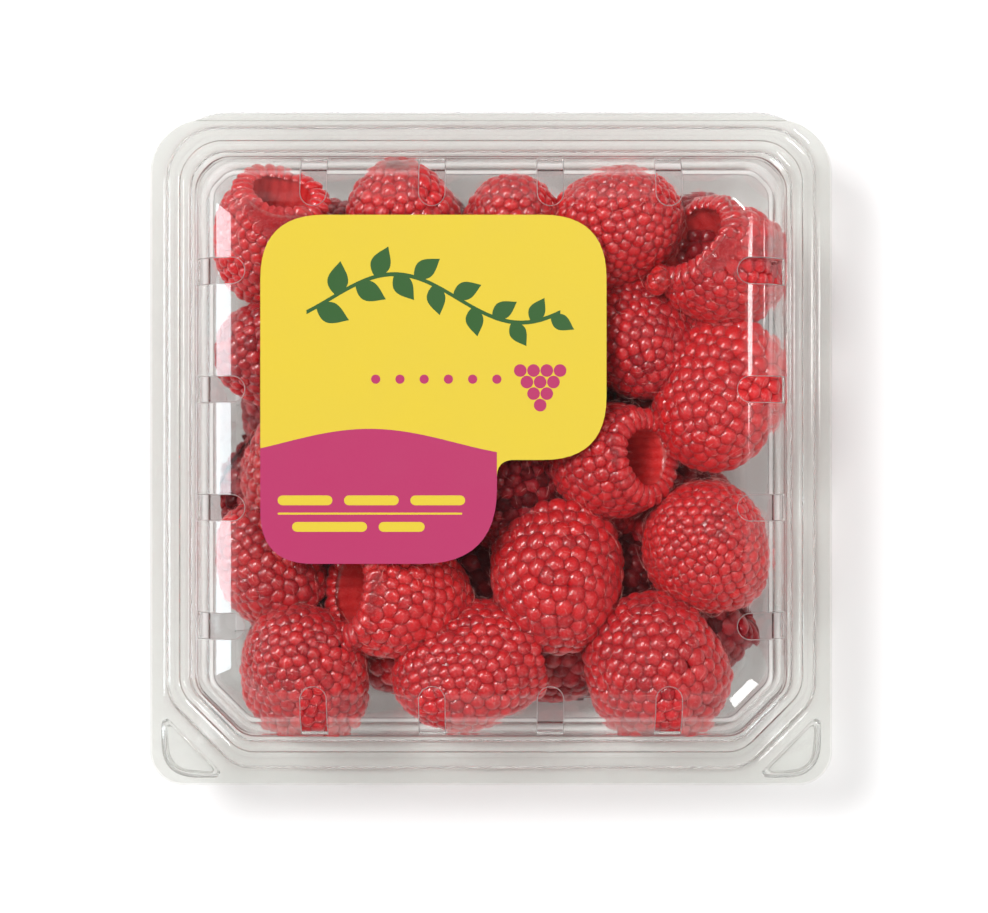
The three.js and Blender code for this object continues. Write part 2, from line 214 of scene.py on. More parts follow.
LID_FLANGE_TOP = RIM_Z + FLANGE_GAP / 2 + WALL
TRAY_FLANGE_TOP = RIM_Z - FLANGE_GAP / 2
LEDGE_Z = RIM_Z + 2.5
LID_SKIN = [
    station(LID_EDGE, LID_FLANGE_TOP, 3.3, 5.3, 5.4, 8.8, AT_LID_EDGE),
    station(2.8, LID_FLANGE_TOP, 12.2, 7.0, 5.4, 8.8, AT_RIB),
    station(3.2, RIM_Z + 2.7, 12.0, 7.0, 5.2, 8.5, AT_RIB),
    station(5.4, RIM_Z + 2.7, 10.6, 6.0, 4.5, 7.0),
    station(5.8, RIM_Z + 1.7, 10.4, 6.0, 4.4, 6.8),
    station(7.0, RIM_Z + 1.7, 9.4, 5.0, 3.9, 6.0),
    station(7.3, LEDGE_Z, 9.2, 5.0, 3.8, 5.8),
    station(8.3, LEDGE_Z, 8.4, 4.5, 3.6, 5.2),
    station(11.6, TOP_Z - 1.9, 6.0, 3.4, 3.3, 3.4),
    station(15.1, TOP_Z, 4.6, 2.6, 2.9, 2.6),
    station(16.6, TOP_Z, 4.2, 2.4, 2.7, 2.4),
]
TRAY_SKIN = [
    station(0.0, TRAY_FLANGE_TOP, 3.5, 5.7, 5.6, 9.2, AT_EDGE),
    station(7.6, TRAY_FLANGE_TOP, 9.2, 5.0, 3.8, 5.8),
    station(8.4, RIM_Z - 0.9, 8.6, 4.6, 3.6, 5.4),
    station(9.0, RIM_Z - 5.4, 8.2, 4.4, 3.6, 5.0),
    station(10.0, RIM_Z - 6.4, 7.4, 4.2, 3.6, 4.8),
    station(13.8, 3.4, 5.6, 4.0, 3.6, 4.4),
    station(16.4, WALL, 4.4, 3.6, 3.2, 4.0),
    station(20.0, WALL, 3.6, 3.0, 3.0, 3.6),
    station(20.9, 1.6, 3.4, 2.8, 2.8, 3.4),
    station(22.0, 1.6, 3.2, 2.6, 2.6, 3.2),
]
print("the lid has", len(LID_SKIN), "stations and the tray", len(TRAY_SKIN))

# %% [markdown]
# A pressed sheet has no sharp folds, so each inner station is softened into a short curve. A bevel modifier
# could do this after the mesh is made, but a curve in the section keeps the wall's thickness even. The other
# face of the sheet lies one wall deeper. A Solidify modifier could make it too, but it can pinch where rounds
# are small, and here the section says how much narrower each inner ring has to be.


# %% Soften the folds
def soften(stations, reaches, steps=5):
    soft = [stations[0]]
    for before, here, after, reach in zip(stations, stations[1:], stations[2:], reaches):
        ends = []
        for other in (before, after):
            length = math.hypot(other[0] - here[0], other[7] - here[7])
            ends.append(here + (other - here) * min(reach / length, 0.46))
        soft += corner_curve(ends[0], here, ends[1], steps)
    return [*soft, stations[-1]]


# %% Find the skin's other face
def underside(stations, depth=WALL):
    section = np.array([(s[0], s[7]) for s in stations])
    run = np.diff(section, axis=0)
    normals = np.stack([-run[:, 1], run[:, 0]], 1) / np.hypot(*run.T)[:, None]
    under = []
    for i, s in enumerate(stations):
        before, after = normals[max(i - 1, 0)], normals[min(i, len(normals) - 1)]
        shift = (before + after) * -depth / (1 + before @ after)
        inward = 0.0 if i == 0 else shift[0]
        less = (2 - math.sqrt(2)) * inward
        change = [inward, inward, inward, -less, -less, -inward, -inward, shift[1]]
        new = s + np.array(change)
        new[5:7] = np.maximum(new[5:7], 0.3)
        under.append(new)
    return under


# %% The closed skin
def skin_piece(name, stations, material):
    upper = [ring(*s) for s in stations]
    lower = [ring(*s) for s in underside(stations)]
    rows = [*upper[::-1], *lower]
    count = len(rows[0])
    points = [p for row in rows for p in row]
    middle_y = (rows[0][0][1] + rows[0][count // 2][1]) / 2
    points += [(0, middle_y, rows[0][0][2]), (0, middle_y, rows[-1][0][2])]
    faces = []
    for i in range(count):
        j = (i + 1) % count
        faces.append((len(points) - 2, i, j))
        for row in range(len(rows) - 1):
            a, b = row * count, (row + 1) * count
            faces.append((a + i, b + i, b + j, a + j))
        last = (len(rows) - 1) * count
        faces.append((len(points) - 1, last + j, last + i))
    return mesh_piece(name, points, faces, material)


# %% [markdown]
# ## Vents and snap pads
#
# The vents are slots that run over the shoulder of the lid and over the bottom edge of the tray. The pads are
# hollow three-cornered bumps on the front tabs: the lid's press down over the tray's and hold the pack shut.
# Both are easy to place as simple solids and to cut or join with Boolean modifiers, which are applied at
# once so that the finished mesh is what rides on the frame.


# %% A straight-sided solid from an outline
def prism(outline, low, high):
    count = len(outline)
    points = [(x, y, z) for z in (low, high) for x, y in outline]
    sides = [(i, (i + 1) % count, (i + 1) % count + count, i + count) for i in range(count)]
    return points, [tuple(range(count))[::-1], tuple(range(count, 2 * count)), *sides]


def joined(parts):
    points, faces = [], []
    for part_points, part_faces in parts:
        start = len(points)
        points += part_points
        faces += [tuple(start + i for i in face) for face in part_faces]
    return points, faces


# %% The slots
VENT_PITCH = 20.6
VENT_HALF = 2.3
LID_VENT = (8.1, 17.3)  # inset of a slot's outer and inner end
TRAY_VENT = (12.6, 19.2)


def edge_of(turn):
    edge = (HALF_WIDTH, FLANGE_BACK_Y, HALF_WIDTH, -FRONT_Y)[turn]
    more = (SHIFTS[0], SHIFTS[1], SHIFTS[0], SHIFTS[2])[turn]
    return edge, more


def vent_places():
    return [(turn, (i - 1.5) * VENT_PITCH) for turn in range(4) for i in range(4)]


def vent_outline(turn, offset, outer, inner):
    edge, more = edge_of(turn)
    corners = [(edge - outer - more, -VENT_HALF), (edge - outer - more, VENT_HALF)]
    centre = edge - inner - more + VENT_HALF
    for angle in np.linspace(math.pi / 2, 3 * math.pi / 2, 17):
        corners.append((centre + VENT_HALF * math.cos(angle), VENT_HALF * math.sin(angle)))
    c, s = heading_of(2 * turn)
    return [(x * c - (y + offset) * s, x * s + (y + offset) * c) for x, y in corners]


def vents(outer, inner, low, high):
    return joined([prism(vent_outline(*at, outer, inner), low, high) for at in vent_places()])


print(len(vent_places()), "vents in each half of the pack, each", 2 * VENT_HALF, "mm wide")

# %% The snap pads
PAD_RISE = 0.9
PAD_GAP = 0.3
PAD_MIDDLE = np.array([54.2, FRONT_Y + 5.2])
PAD_CORNERS = ((58.0, FRONT_Y + 1.3, 6.4), (58.0, FRONT_Y + 13.0, 2.8), (46.4, FRONT_Y + 1.3, 2.8))


def pad_outline(sign, inset, steps=8):
    corners = []
    for x, y, radius in PAD_CORNERS:
        arm = np.array([x, y]) - PAD_MIDDLE
        share = 1 - inset * 1.6 / np.hypot(*arm)
        corners.append((PAD_MIDDLE + arm * share, radius * share))
    return [(sign * x, y) for x, y in rounded(corners, steps)][:: 1 if sign > 0 else -1]


def pad(sign, inset, low, high, soft=0.75):
    steps = [(inset, low)]
    for angle in np.linspace(0, math.pi / 2, 5):
        steps.append((inset + soft * (1 - math.cos(angle)), high - soft * (1 - math.sin(angle))))
    rows = [[(x, y, z) for x, y in pad_outline(sign, i)] for i, z in steps]
    count = len(rows[0])
    faces = [tuple(range(count))[::-1], tuple(range((len(rows) - 1) * count, len(rows) * count))]
    for row in range(len(rows) - 1):
        faces += band_back(row * count, (row + 1) * count, count)
    return [p for row in rows for p in row], faces


print("a pad's outline has", len(pad_outline(1, 0.0)), "points")

# %% Cut and join with Boolean modifiers
def shaped(piece, steps):
    tools = []
    for operation, (points, faces) in steps:
        tool = mesh_piece(piece.name + "_tool", points, faces, piece.data.materials[0])
        modifier = piece.modifiers.new(operation, "BOOLEAN")
        modifier.operation, modifier.solver, modifier.object = operation, "MANIFOLD", tool
        tools.append(tool)
    graph = bpy.context.evaluated_depsgraph_get()
    finished = bpy.data.meshes.new_from_object(piece.evaluated_get(graph))
    piece.modifiers.clear()
    piece.data = finished
    finished.shade_smooth()
    finished.set_sharp_from_angle(angle=math.radians(35))
    for tool in tools:
        bpy.data.objects.remove(tool)
    return piece


def pad_steps(inset, flange_top):
    outside = [pad(s, inset, flange_top - WALL, flange_top + PAD_RISE) for s in (-1, 1)]
    top = flange_top + PAD_RISE - WALL
    inside = [pad(s, inset + WALL, flange_top - WALL - 1, top) for s in (-1, 1)]
    return [("UNION", joined(outside)), ("DIFFERENCE", joined(inside))]


# %% [markdown]
# ## Finishes
#
# A finish is a tree of shader nodes. Each helper below adds one node and joins it up, so that a material
# reads as a recipe: a noise, mapped to a mask, mixes two colours. Values that are the same all over a piece
# sit on the shader's own sockets.


# %% Start a finish
def new_finish(name):
    material = bpy.data.materials.new(name)
    material.use_nodes = True
    return material, material.node_tree, material.node_tree.nodes["Principled BSDF"]


def set_sockets(node, values):
    for socket, value in values.items():
        node.inputs[socket].default_value = value


def link(tree, source, target):
    tree.links.new(source, target)


# %% Helpers that mix and read colours
def mixed(tree, factor, low, high):
    mix = tree.nodes.new("ShaderNodeMix")
    mix.data_type = "RGBA"
    link(tree, factor, mix.inputs[0])
    for colour, socket in ((low, mix.inputs[6]), (high, mix.inputs[7])):
        if isinstance(colour, tuple):
            socket.default_value = (*colour, 1)
        else:
            link(tree, colour, socket)
    return mix.outputs[2]


def ramp(tree, value, stops):
    node = tree.nodes.new("ShaderNodeValToRGB")
    for i, (position, colour) in enumerate(stops):
        stop = node.color_ramp.elements[i] if i < 2 else node.color_ramp.elements.new(position)
        stop.position, stop.color = position, (*colour, 1)
    link(tree, value, node.inputs[0])
    return node.outputs[0]


def named(tree, name):
    node = tree.nodes.new("ShaderNodeAttribute")
    node.attribute_name = name
    return node.outputs["Fac"]


# %% Helpers that work on numbers
def maths(tree, operation, *values):
    node = tree.nodes.new("ShaderNodeMath")
    node.operation = operation
    for value, socket in zip(values, node.inputs):
        link(tree, value, socket)
    return node.outputs[0]


def off_middle(tree, direction):
    split = tree.nodes.new("ShaderNodeSeparateXYZ")
    link(tree, direction, split.inputs[0])
    across = maths(tree, "ABSOLUTE", split.outputs["X"])
    along = maths(tree, "ABSOLUTE", split.outputs["Y"])
    return maths(tree, "MAXIMUM", across, along)


def mapped(tree, value, low, high, out_low, out_high):
    node = tree.nodes.new("ShaderNodeMapRange")
    for socket, number in zip(node.inputs[1:5], (low, high, out_low, out_high)):
        socket.default_value = number
    link(tree, value, node.inputs[0])
    return node.outputs[0]


def embossed(tree, shader, height, strength, distance):
    bump = tree.nodes.new("ShaderNodeBump")
    set_sockets(bump, {"Strength": strength, "Distance": distance})
    link(tree, height, bump.inputs["Height"])
    link(tree, bump.outputs["Normal"], shader.inputs["Normal"])


# %% [markdown]
# One effect comes back in every material: a grain that runs over the piece, fine on the fruit and the inks
# and slow on the sheet. So it is a node group with named inputs. It is built once, and each material places
# it with values of its own.


# %% The grain's node group
def grain_group():
    group = bpy.data.node_groups.new("grain", "ShaderNodeTree")
    for label, value in {"Scale": 500, "Detail": 2, "Swirl": 0}.items():
        socket = group.interface.new_socket(label, in_out="INPUT", socket_type="NodeSocketFloat")
        socket.default_value = value
    group.interface.new_socket("Grain", in_out="OUTPUT", socket_type="NodeSocketFloat")
    entry, out = group.nodes.new("NodeGroupInput"), group.nodes.new("NodeGroupOutput")
    where = group.nodes.new("ShaderNodeTexCoord")
    texture = group.nodes.new("ShaderNodeTexNoise")
    link(group, where.outputs["Object"], texture.inputs["Vector"])
    for socket, label in {"Scale": "Scale", "Detail": "Detail", "Distortion": "Swirl"}.items():
        link(group, entry.outputs[label], texture.inputs[socket])
    link(group, texture.outputs["Fac"], out.inputs["Grain"])
    return group


GRAIN = grain_group()


def noise(tree, scale, detail=2.0, swirl=0.0):
    node = tree.nodes.new("ShaderNodeGroup")
    node.node_tree = GRAIN
    set_sockets(node, {"Scale": scale, "Detail": detail, "Swirl": swirl})
    return node.outputs["Grain"]


print("node group:", GRAIN.name, "with", [item.name for item in GRAIN.interface.items_tree])

# %% [markdown]
# ## The clear plastic
#
# The sheet is clear PET: glossy and nearly colourless. Two things make it show. It mirrors what is bright,
# and it is never quite flat, so the mirrored light wavers. A Principled shader with Transmission gives the
# mirror and the view through it, and a very low wave in the Normal gives the waver. Cycles would block most
# of the lamp light that should pass such a sheet, so shadow and diffuse rays see a faint tint instead. The
# rim is two sheets with folds close together, which turn it milky: there the tint is deeper, and a little of
# a Translucent shader is mixed in. Lid, fold and tray are pressed from one sheet, so they share one material.


# %% Clear plastic
SHEET_TINT = (0.965, 0.972, 0.96, 1)
WAVER = 0.004
RIM_FROM, RIM_TO = 0.050, 0.052  # metres off the middle, where the sheet turns milky
MILK_INSIDE, MILK_AT_RIM = 0.004, 0.15


def blend_of(tree, factor, first, second):
    mix = tree.nodes.new("ShaderNodeMixShader")
    for source, socket in zip((factor, first, second), mix.inputs):
        link(tree, source, socket)
    return mix.outputs[0]


def clear_plastic(name):
    material, tree, shader = new_finish(name)
    set_sockets(shader, {"Base Color": SHEET_TINT, "Roughness": 0.06, "IOR": 1.5,
                         "Transmission Weight": 1.0})
    embossed(tree, shader, noise(tree, 35, 1), WAVER, 0.001)
    rays = tree.nodes.new("ShaderNodeLightPath")
    either = maths(tree, "MAXIMUM", rays.outputs["Is Shadow Ray"], rays.outputs["Is Diffuse Ray"])
    steep = tree.nodes.new("ShaderNodeLayerWeight")
    set_sockets(steep, {"Blend": 0.25})
    where = tree.nodes.new("ShaderNodeTexCoord")
    rim = mapped(tree, off_middle(tree, where.outputs["Object"]), RIM_FROM, RIM_TO, 0, 1)
    thin = mixed(tree, steep.outputs["Facing"], (0.985, 0.988, 0.98), (0.88, 0.89, 0.88))
    thick = mixed(tree, steep.outputs["Facing"], (0.935, 0.935, 0.93), (0.79, 0.79, 0.78))
    veil = tree.nodes.new("ShaderNodeBsdfTransparent")
    link(tree, mixed(tree, rim, thin, thick), veil.inputs["Color"])
    milk = tree.nodes.new("ShaderNodeBsdfTranslucent")
    set_sockets(milk, {"Color": (0.9, 0.91, 0.87, 1)})
    clear = blend_of(tree, either, shader.outputs[0], veil.outputs[0])
    share = mapped(tree, rim, 0, 1, MILK_INSIDE, MILK_AT_RIM)
    surface = blend_of(tree, share, clear, milk.outputs[0])
    link(tree, surface, tree.nodes["Material Output"].inputs["Surface"])
    return material


clear_sheet = clear_plastic("clear_sheet")
print(clear_sheet.name, "is a tree of", len(clear_sheet.node_tree.nodes), "nodes")

# %% [markdown]
# Where the sheet is punched, its edge turns a little white and dull. A mask on the sheet could show that, but
# the rolled edge is a piece by itself, so it simply gets a rough, milky plastic of its own.


# %% The punched edge
def milky_plastic(name):
    material, tree, shader = new_finish(name)
    milk = mixed(tree, noise(tree, 600, 3), (0.86, 0.8, 0.8), (0.97, 0.92, 0.92))
    link(tree, milk, shader.inputs["Base Color"])
    link(tree, mapped(tree, noise(tree, 900, 2), 0.3, 0.7, 0.35, 0.6), shader.inputs["Roughness"])
    set_sockets(shader, {"Transmission Weight": 0.88, "IOR": 1.3})
    return material


punched_edge = milky_plastic("punched_edge")
print(punched_edge.name, "is a tree of", len(punched_edge.node_tree.nodes), "nodes")

# %% [markdown]
# ## Lid and tray
#
# A vent is punched while the sheet is warm, so its edge is rolled a little thick. That bead of plastic is
# what shows as a pale line round each vent. A bevelled curve object could draw it, but only meshes leave
# Blender with the pack, so a thin closed tube is made at once. It runs up the wall, over the shoulder, round
# the inner end and back.


# %% The way that a lip runs
LIP_RADIUS = 0.075
LID_LIP, TRAY_LIP = 8.6, 13.2  # inset where the lips start, on the wall


def middle_height(stations, inset):
    under = underside(stations)
    tops = np.interp(inset, [s[0] for s in stations], [s[7] for s in stations])
    lows = np.interp(inset, [s[0] for s in under], [s[7] for s in under])
    return (tops + lows) / 2


def lip_path(stations, outer, inner, turn, offset):
    edge, more = edge_of(turn)
    run = [(inset, VENT_HALF) for inset in np.linspace(outer, inner - VENT_HALF, 14)]
    for angle in np.linspace(math.pi / 2, -math.pi / 2, 13)[1:-1]:
        run.append((inner - VENT_HALF + VENT_HALF * math.cos(angle), VENT_HALF * math.sin(angle)))
    run += [(inset, -side) for inset, side in run[13::-1]]
    run += [(outer, side) for side in np.linspace(-VENT_HALF, VENT_HALF, 8)[1:-1]]
    c, s = heading_of(2 * turn)
    path = []
    for inset, side in run:
        x, y = edge - inset - more, side + offset
        path.append((x * c - y * s, x * s + y * c, float(middle_height(stations, inset))))
    return np.array(path)


# %% A tube along it
def closed_tube(path, radius, sides=8):
    ahead = np.roll(path, -1, 0) - np.roll(path, 1, 0)
    ahead /= np.linalg.norm(ahead, axis=1, keepdims=True)
    first = np.cross(np.array([0, 0, 1.0]), ahead)
    first /= np.linalg.norm(first, axis=1, keepdims=True)
    second = np.cross(ahead, first)
    count = len(path)
    points = []
    for i in range(count):
        for a in np.arange(sides) * 2 * math.pi / sides:
            points.append(tuple(path[i] + radius * (math.cos(a) * first[i] + math.sin(a) * second[i])))
    faces = []
    for i in range(count):
        faces += band_back(i * sides, (i + 1) % count * sides, sides)
    return points, faces


def vent_lips(stations, outer, inner):
    paths = [lip_path(stations, outer, inner, *at) for at in vent_places()]
    return joined([closed_tube(path, LIP_RADIUS) for path in paths])


# %% [markdown]
# Lid and tray are each the softened section swept round the ring, with the pads joined on and the vents cut
# through. The lips lie over the cut edges as a piece of their own.

# %% Make the lid
LID_REACHES = (0.9, 0.9, 0.9, 0.7, 0.6, 0.6, 0.5, 1.4, 1.3)
lid = skin_piece("lid_shell", soften(LID_SKIN, LID_REACHES), clear_sheet)
lid_steps = pad_steps(0.0, LID_FLANGE_TOP)
lid_steps.append(("DIFFERENCE", vents(*LID_VENT, LEDGE_Z + 0.5, TOP_Z + 1)))
place(shaped(lid, lid_steps), "lid", "clear_lid", "lid")

lips = mesh_piece("lid_vent_lips", *vent_lips(LID_SKIN, LID_LIP, LID_VENT[1]), punched_edge)
place(lips, "lid", "clear_lid", "lid")

# %% Make the tray
TRAY_REACHES = (0.7, 0.7, 0.7, 0.7, 1.4, 1.0, 0.4, 0.4)
tray = skin_piece("tray_shell", soften(TRAY_SKIN, TRAY_REACHES), clear_sheet)
tray_steps = pad_steps(WALL + PAD_GAP, TRAY_FLANGE_TOP)
tray_steps.append(("DIFFERENCE", vents(*TRAY_VENT, -1.0, 4.6)))
place(shaped(tray, tray_steps), "tray", "clear_tray", "tray")
lips = mesh_piece("tray_vent_lips", *vent_lips(TRAY_SKIN, TRAY_LIP, TRAY_VENT[1]), punched_edge)
place(lips, "tray", "clear_tray", "tray")

# %% [markdown]
# ## The fold
#
# The sheet bends round at the back like a hairpin, from the tray's flange to the lid's. Here it is a fixed
# strip that rides on no body: it fits while the pack is shut, and would come off one half as the lid opens.


# %% Make the fold
def fold_section(radius, reach, steps=12):
    turn = np.linspace(-math.pi / 2, math.pi / 2, steps + 1)
    back = FLANGE_BACK_Y - 0.1
    bend = [(back + (FOLD_Y - back + radius * math.cos(a)) * reach, RIM_Z + radius * math.sin(a))
            for a in turn]
    return [(back - 0.1, RIM_Z - radius), *bend, (back - 0.1, RIM_Z + radius)]


def fold_strip(columns=61):
    points, faces = [], []
    for x in np.linspace(-FOLD_HALF_LENGTH, FOLD_HALF_LENGTH, columns):
        t = min((FOLD_HALF_LENGTH - abs(x)) / FOLD_TAPER, 1.0)
        reach = 0.05 + 0.95 * math.sin(t * math.pi / 2)
        outer, inner = fold_section(FOLD_RADIUS, reach), fold_section(FOLD_RADIUS - 0.25, reach)
        points += [(x, y, z) for y, z in [*outer, *inner[::-1]]]
    n = len(points) // columns
    for c in range(columns - 1):
        faces += band(c * n, (c + 1) * n, n)
    for start, flip in ((0, 1), ((columns - 1) * n, -1)):
        for i in range(n // 2 - 1):
            faces.append((start + i, start + i + 1, start + n - 2 - i, start + n - 1 - i)[::flip])
    return points, faces


fold = mesh_piece("fold_strip", *fold_strip(), clear_sheet)
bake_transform(fold)
print("the fold has", len(fold.data.vertices), "points")

# %% [markdown]
# ## Where the berries lie
#
# A raspberry is picked off its core, so it is a hollow cup: wide and open at the base, round at the tip.
# Each berry on top is listed one by one, with the way its tip points. The layer beneath only shows in the
# gaps and through the tray, so a rule spreads it evenly.

# %% The berries on top
# x, y, width, length, heading and pitch of the tip, drop below the lid, opening, ripeness and painted shade
# (lower is darker), bead size
LID_CLEARANCE = 0.6
UPPER_BERRIES = [
    (-39.4, 35.7, 18.8, 23.5, -106, -38, 0.4, 0.66, 0.65, 2.3),
    (-33.5, 24.5, 18.0, 20.0, 205, 5, 10.0, 0, 0.10, 2.5),
    (-16.0, 40.0, 21.0, 23.0, 95, 28, 0.0, 0, 0.60, 2.5),
    (3.6, 39.5, 19.0, 21.0, 85, 50, 1.0, 0, 0.60, 2.4),
    (23.0, 39.5, 22.5, 23.0, 30, 40, 0.0, 0, 0.60, 2.3),
    (37.0, 38.3, 16.0, 17.0, 60, 10, 16.5, 0, 0.25, 2.5),
    (42.1, 31.4, 23.0, 20.5, -40, -30, 0.6, 0.72, 0.60, 2.4),
    (-38.6, 17.3, 20.5, 22.0, 190, 8, 4.0, 0, 0.40, 2.5),
    (-24.0, 22.0, 22.0, 23.0, 60, 30, 1.0, 0, 0.45, 2.6),
    (-2.0, 19.0, 23.0, 22.0, 200, 35, 1.0, 0, 0.55, 2.6),
    (26.5, 19.0, 20.5, 22.0, -75, 30, 3.5, 0, 0.45, 2.4),
    (39.8, 8.0, 23.0, 25.5, -105, 25, 0.0, 0, 0.65, 2.8),
    (-32.5, -1.0, 20.5, 23.0, 75, 18, 3.0, 0, 0.42, 2.5),
    (-13.5, 1.0, 22.0, 22.0, 20, 45, 0.5, 0, 0.55, 2.6),
    (3.0, -5.0, 21.0, 22.0, 100, 35, 6.0, 0, 0.10, 2.6),
    (19.4, -2.0, 21.0, 20.0, 183, -42, 2.5, 0.56, 0.55, 2.4),
    (38.2, -16.7, 23.6, 23.0, 80, 72, 0.0, 0, 0.62, 2.15),
    (-40.2, -19.3, 19.5, 20.5, 120, 15, 5.5, 0, 0.42, 2.6),
    (-14.2, -26.5, 21.5, 24.0, -10, -30, 1.0, 0.64, 0.65, 2.6),
    (11.7, -24.2, 24.5, 24.5, -88, 25, 0.0, 0, 0.55, 3.0),
    (-33.4, -38.0, 22.4, 23.0, 105, 35, 0.0, 0, 0.50, 2.4),
    (-5.1, -39.0, 21.5, 25.5, 198, 14, 0.5, 0, 0.55, 2.5),
    (28.8, -37.2, 25.5, 24.5, 98, 28, 0.0, 0, 0.50, 2.7),
    (29.4, 29.4, 4.4, 4.6, 60, 60, 2.2, 0, 1.0, 2.2),
]


def half_height(width, length, pitch):
    up = math.radians(pitch)
    return math.hypot(length / 2 * math.sin(up), width / 2 * math.cos(up))


def upper_layer():
    ceiling = TOP_Z - WALL - LID_CLEARANCE
    berries = []
    for x, y, width, length, heading, pitch, drop, opening, tone, bead in UPPER_BERRIES:
        z = ceiling - drop - half_height(width, length, pitch)
        berries.append(dict(at=(x, y, z), width=width, length=length, heading=heading,
                            pitch=pitch, opening=opening, tone=tone, bead=bead, turns=80))
    return berries


# %% The layer beneath
GOLDEN = 0.618034


def spread(number, low, high):
    return low + (high - low) * ((number * GOLDEN) % 1)


def lower_layer(per_row=4, pitch=22.8, middle_z=12.6):
    berries = []
    for i in range(per_row**2):
        column, row = i % per_row, i // per_row
        x = (column - (per_row - 1) / 2) * pitch + spread(3 * i + 1, -1.6, 1.6)
        y = (row - (per_row - 1) / 2) * pitch + spread(3 * i + 2, -1.6, 1.6)
        z = middle_z + spread(3 * i + 3, -0.8, 0.8)
        # the ripeness and painted shade value stays low here: partly a painted shade for the layer under the
        # top one
        berries.append(dict(at=(x, y, z), width=spread(5 * i + 1, 20, 22),
                            length=spread(5 * i + 2, 22, 24.5), heading=spread(7 * i + 1, 0, 360),
                            pitch=spread(7 * i + 2, -30, 60), opening=0.58, bead=3.1,
                            tone=spread(11 * i, 0.1, 0.35), turns=40))
    return berries


print(len(UPPER_BERRIES), "berries on top and", len(lower_layer()), "beneath")

# %% [markdown]
# Ripe berries are soft: where one meets the plastic it is pressed flat. So no point of a berry may leave the
# room inside the pack. The room's walls follow the same sections, and a point outside is moved back in.

# %% The room inside the pack
AIR = 0.3


def room_table():
    tray_rows = [s.copy() for s in TRAY_SKIN[1:-4]][::-1]
    tray_rows.insert(0, tray_rows[0].copy())
    tray_rows[0][7] = 0.0
    lid_rows = underside(LID_SKIN)[-4:-1]
    table = np.array([*tray_rows, *lid_rows])
    table[:, :3] += AIR
    return table


ROOM = room_table()
ROOM_FLOOR, ROOM_ROOF = 1.6 + AIR, TOP_Z - WALL - AIR
print("the fruit has room from", round(ROOM_FLOOR, 2), "to", round(ROOM_ROOF, 2), "mm above the table")


def kept_inside(points):
    p = points.copy()
    p[:, 2] = np.clip(p[:, 2], ROOM_FLOOR, ROOM_ROOF)
    side, front, back, front_cut, back_cut = (
        np.interp(p[:, 2], ROOM[:, 7], ROOM[:, column]) for column in range(5)
    )
    wall, low, high = HALF_WIDTH - side, FRONT_Y + front, FLANGE_BACK_Y - back
    p[:, 0] = np.clip(p[:, 0], -wall, wall)
    p[:, 1] = np.clip(p[:, 1], low, high)
    for edge, cut, sign in ((low, front_cut, 1), (high, back_cut, -1)):
        room = (wall - np.abs(p[:, 0])) + sign * (p[:, 1] - edge)
        push = np.maximum(cut - room, 0) / 2
        p[:, 0] -= np.sign(p[:, 0]) * push
        p[:, 1] += sign * push
    return p


# %% [markdown]
# ## One raspberry
#
# A raspberry is a cluster of druplets, small juicy beads in rows round the cup, each row stepped by half a
# bead. A bump map can't give the deep gaps between them, so every druplet is a real dome. The domes overlap
# a little, as the beads press on each other, and the gap between two is where they meet. Each point also
# carries four numbers for the shader: a value that is partly ripeness and partly painted shade, how deep it
# lies between beads, how far inside the cup, and where the lining's ridges run.

# %% The shape of the cup
def width_at(along, blunt):
    rise = 0.8 + 0.2 * np.sin(np.clip(along / 0.36, 0, 1) * math.pi / 2)
    past = np.clip((along - 0.36) / 0.64, 0, 1)
    return np.where(along < 0.36, rise, np.sqrt(np.maximum(1 - past**blunt, 0)))


# %% One bead
DOME_ROUND = 9  # points round a bead of the top layer
DOME_RINGS = np.radians([0, 24, 45, 64, 90])


def dome_template(around):
    points, faces = [(0.0, 0.0, 1.0)], []
    for polar in DOME_RINGS[1:]:
        for i in range(around):
            a = 2 * math.pi * i / around
            points.append((math.sin(polar) * math.cos(a), math.sin(polar) * math.sin(a),
                           math.cos(polar)))
    faces += [(0, 1 + i, 1 + (i + 1) % around, 0) for i in range(around)]
    for r in range(len(DOME_RINGS) - 2):
        faces += band(1 + r * around, 1 + (r + 1) * around, around)
    return np.array(points), faces


print("one bead is a dome of", len(dome_template(DOME_ROUND)[0]), "points")


# %% The line from the lip to the tip
def cup_path(berry, blunt):
    width, length, opening = berry["width"], berry["length"], berry["opening"]
    along = np.linspace(0, 1, 300)
    radius = width / 2 * width_at(along, blunt)
    height = (along - 0.5) * length
    if opening:
        curl = (0.8 - opening) * width / 4
        turn = np.linspace(math.pi / 2, 0, 20)[:-1]
        radius = np.concatenate([radius[0] - curl + curl * np.cos(turn), radius])
        height = np.concatenate([height[0] - curl * np.sin(turn), height])
    walked = np.concatenate([[0], np.cumsum(np.hypot(np.diff(radius), np.diff(height)))])
    return walked, radius, height


# %% Where the beads start
RIB_WIDTH = 0.78  # of a bead, for the long ones round an open cup's lip
RIB_LENGTH = 1.35


def bead_starts(cup, bead, ribbed, rng):
    walked, radius, _ = cup
    places, offset = [], rng.uniform(0, 2 * math.pi)
    first = bead * 0.4
    if ribbed:
        count = int(round(2 * math.pi * radius[0] / (RIB_WIDTH * bead)))
        places += [(0.0, 2 * math.pi * i / count, True) for i in range(count)]
        first = bead * 1.1
    for start in np.arange(first, walked[-1], bead * 0.86):
        r = np.interp(start, walked, radius)
        count = max(int(round(2 * math.pi * r / bead)), 1)
        offset += math.pi / count
        places += [(start, offset + 2 * math.pi * i / count, False) for i in range(count)]
    return np.array(places).T


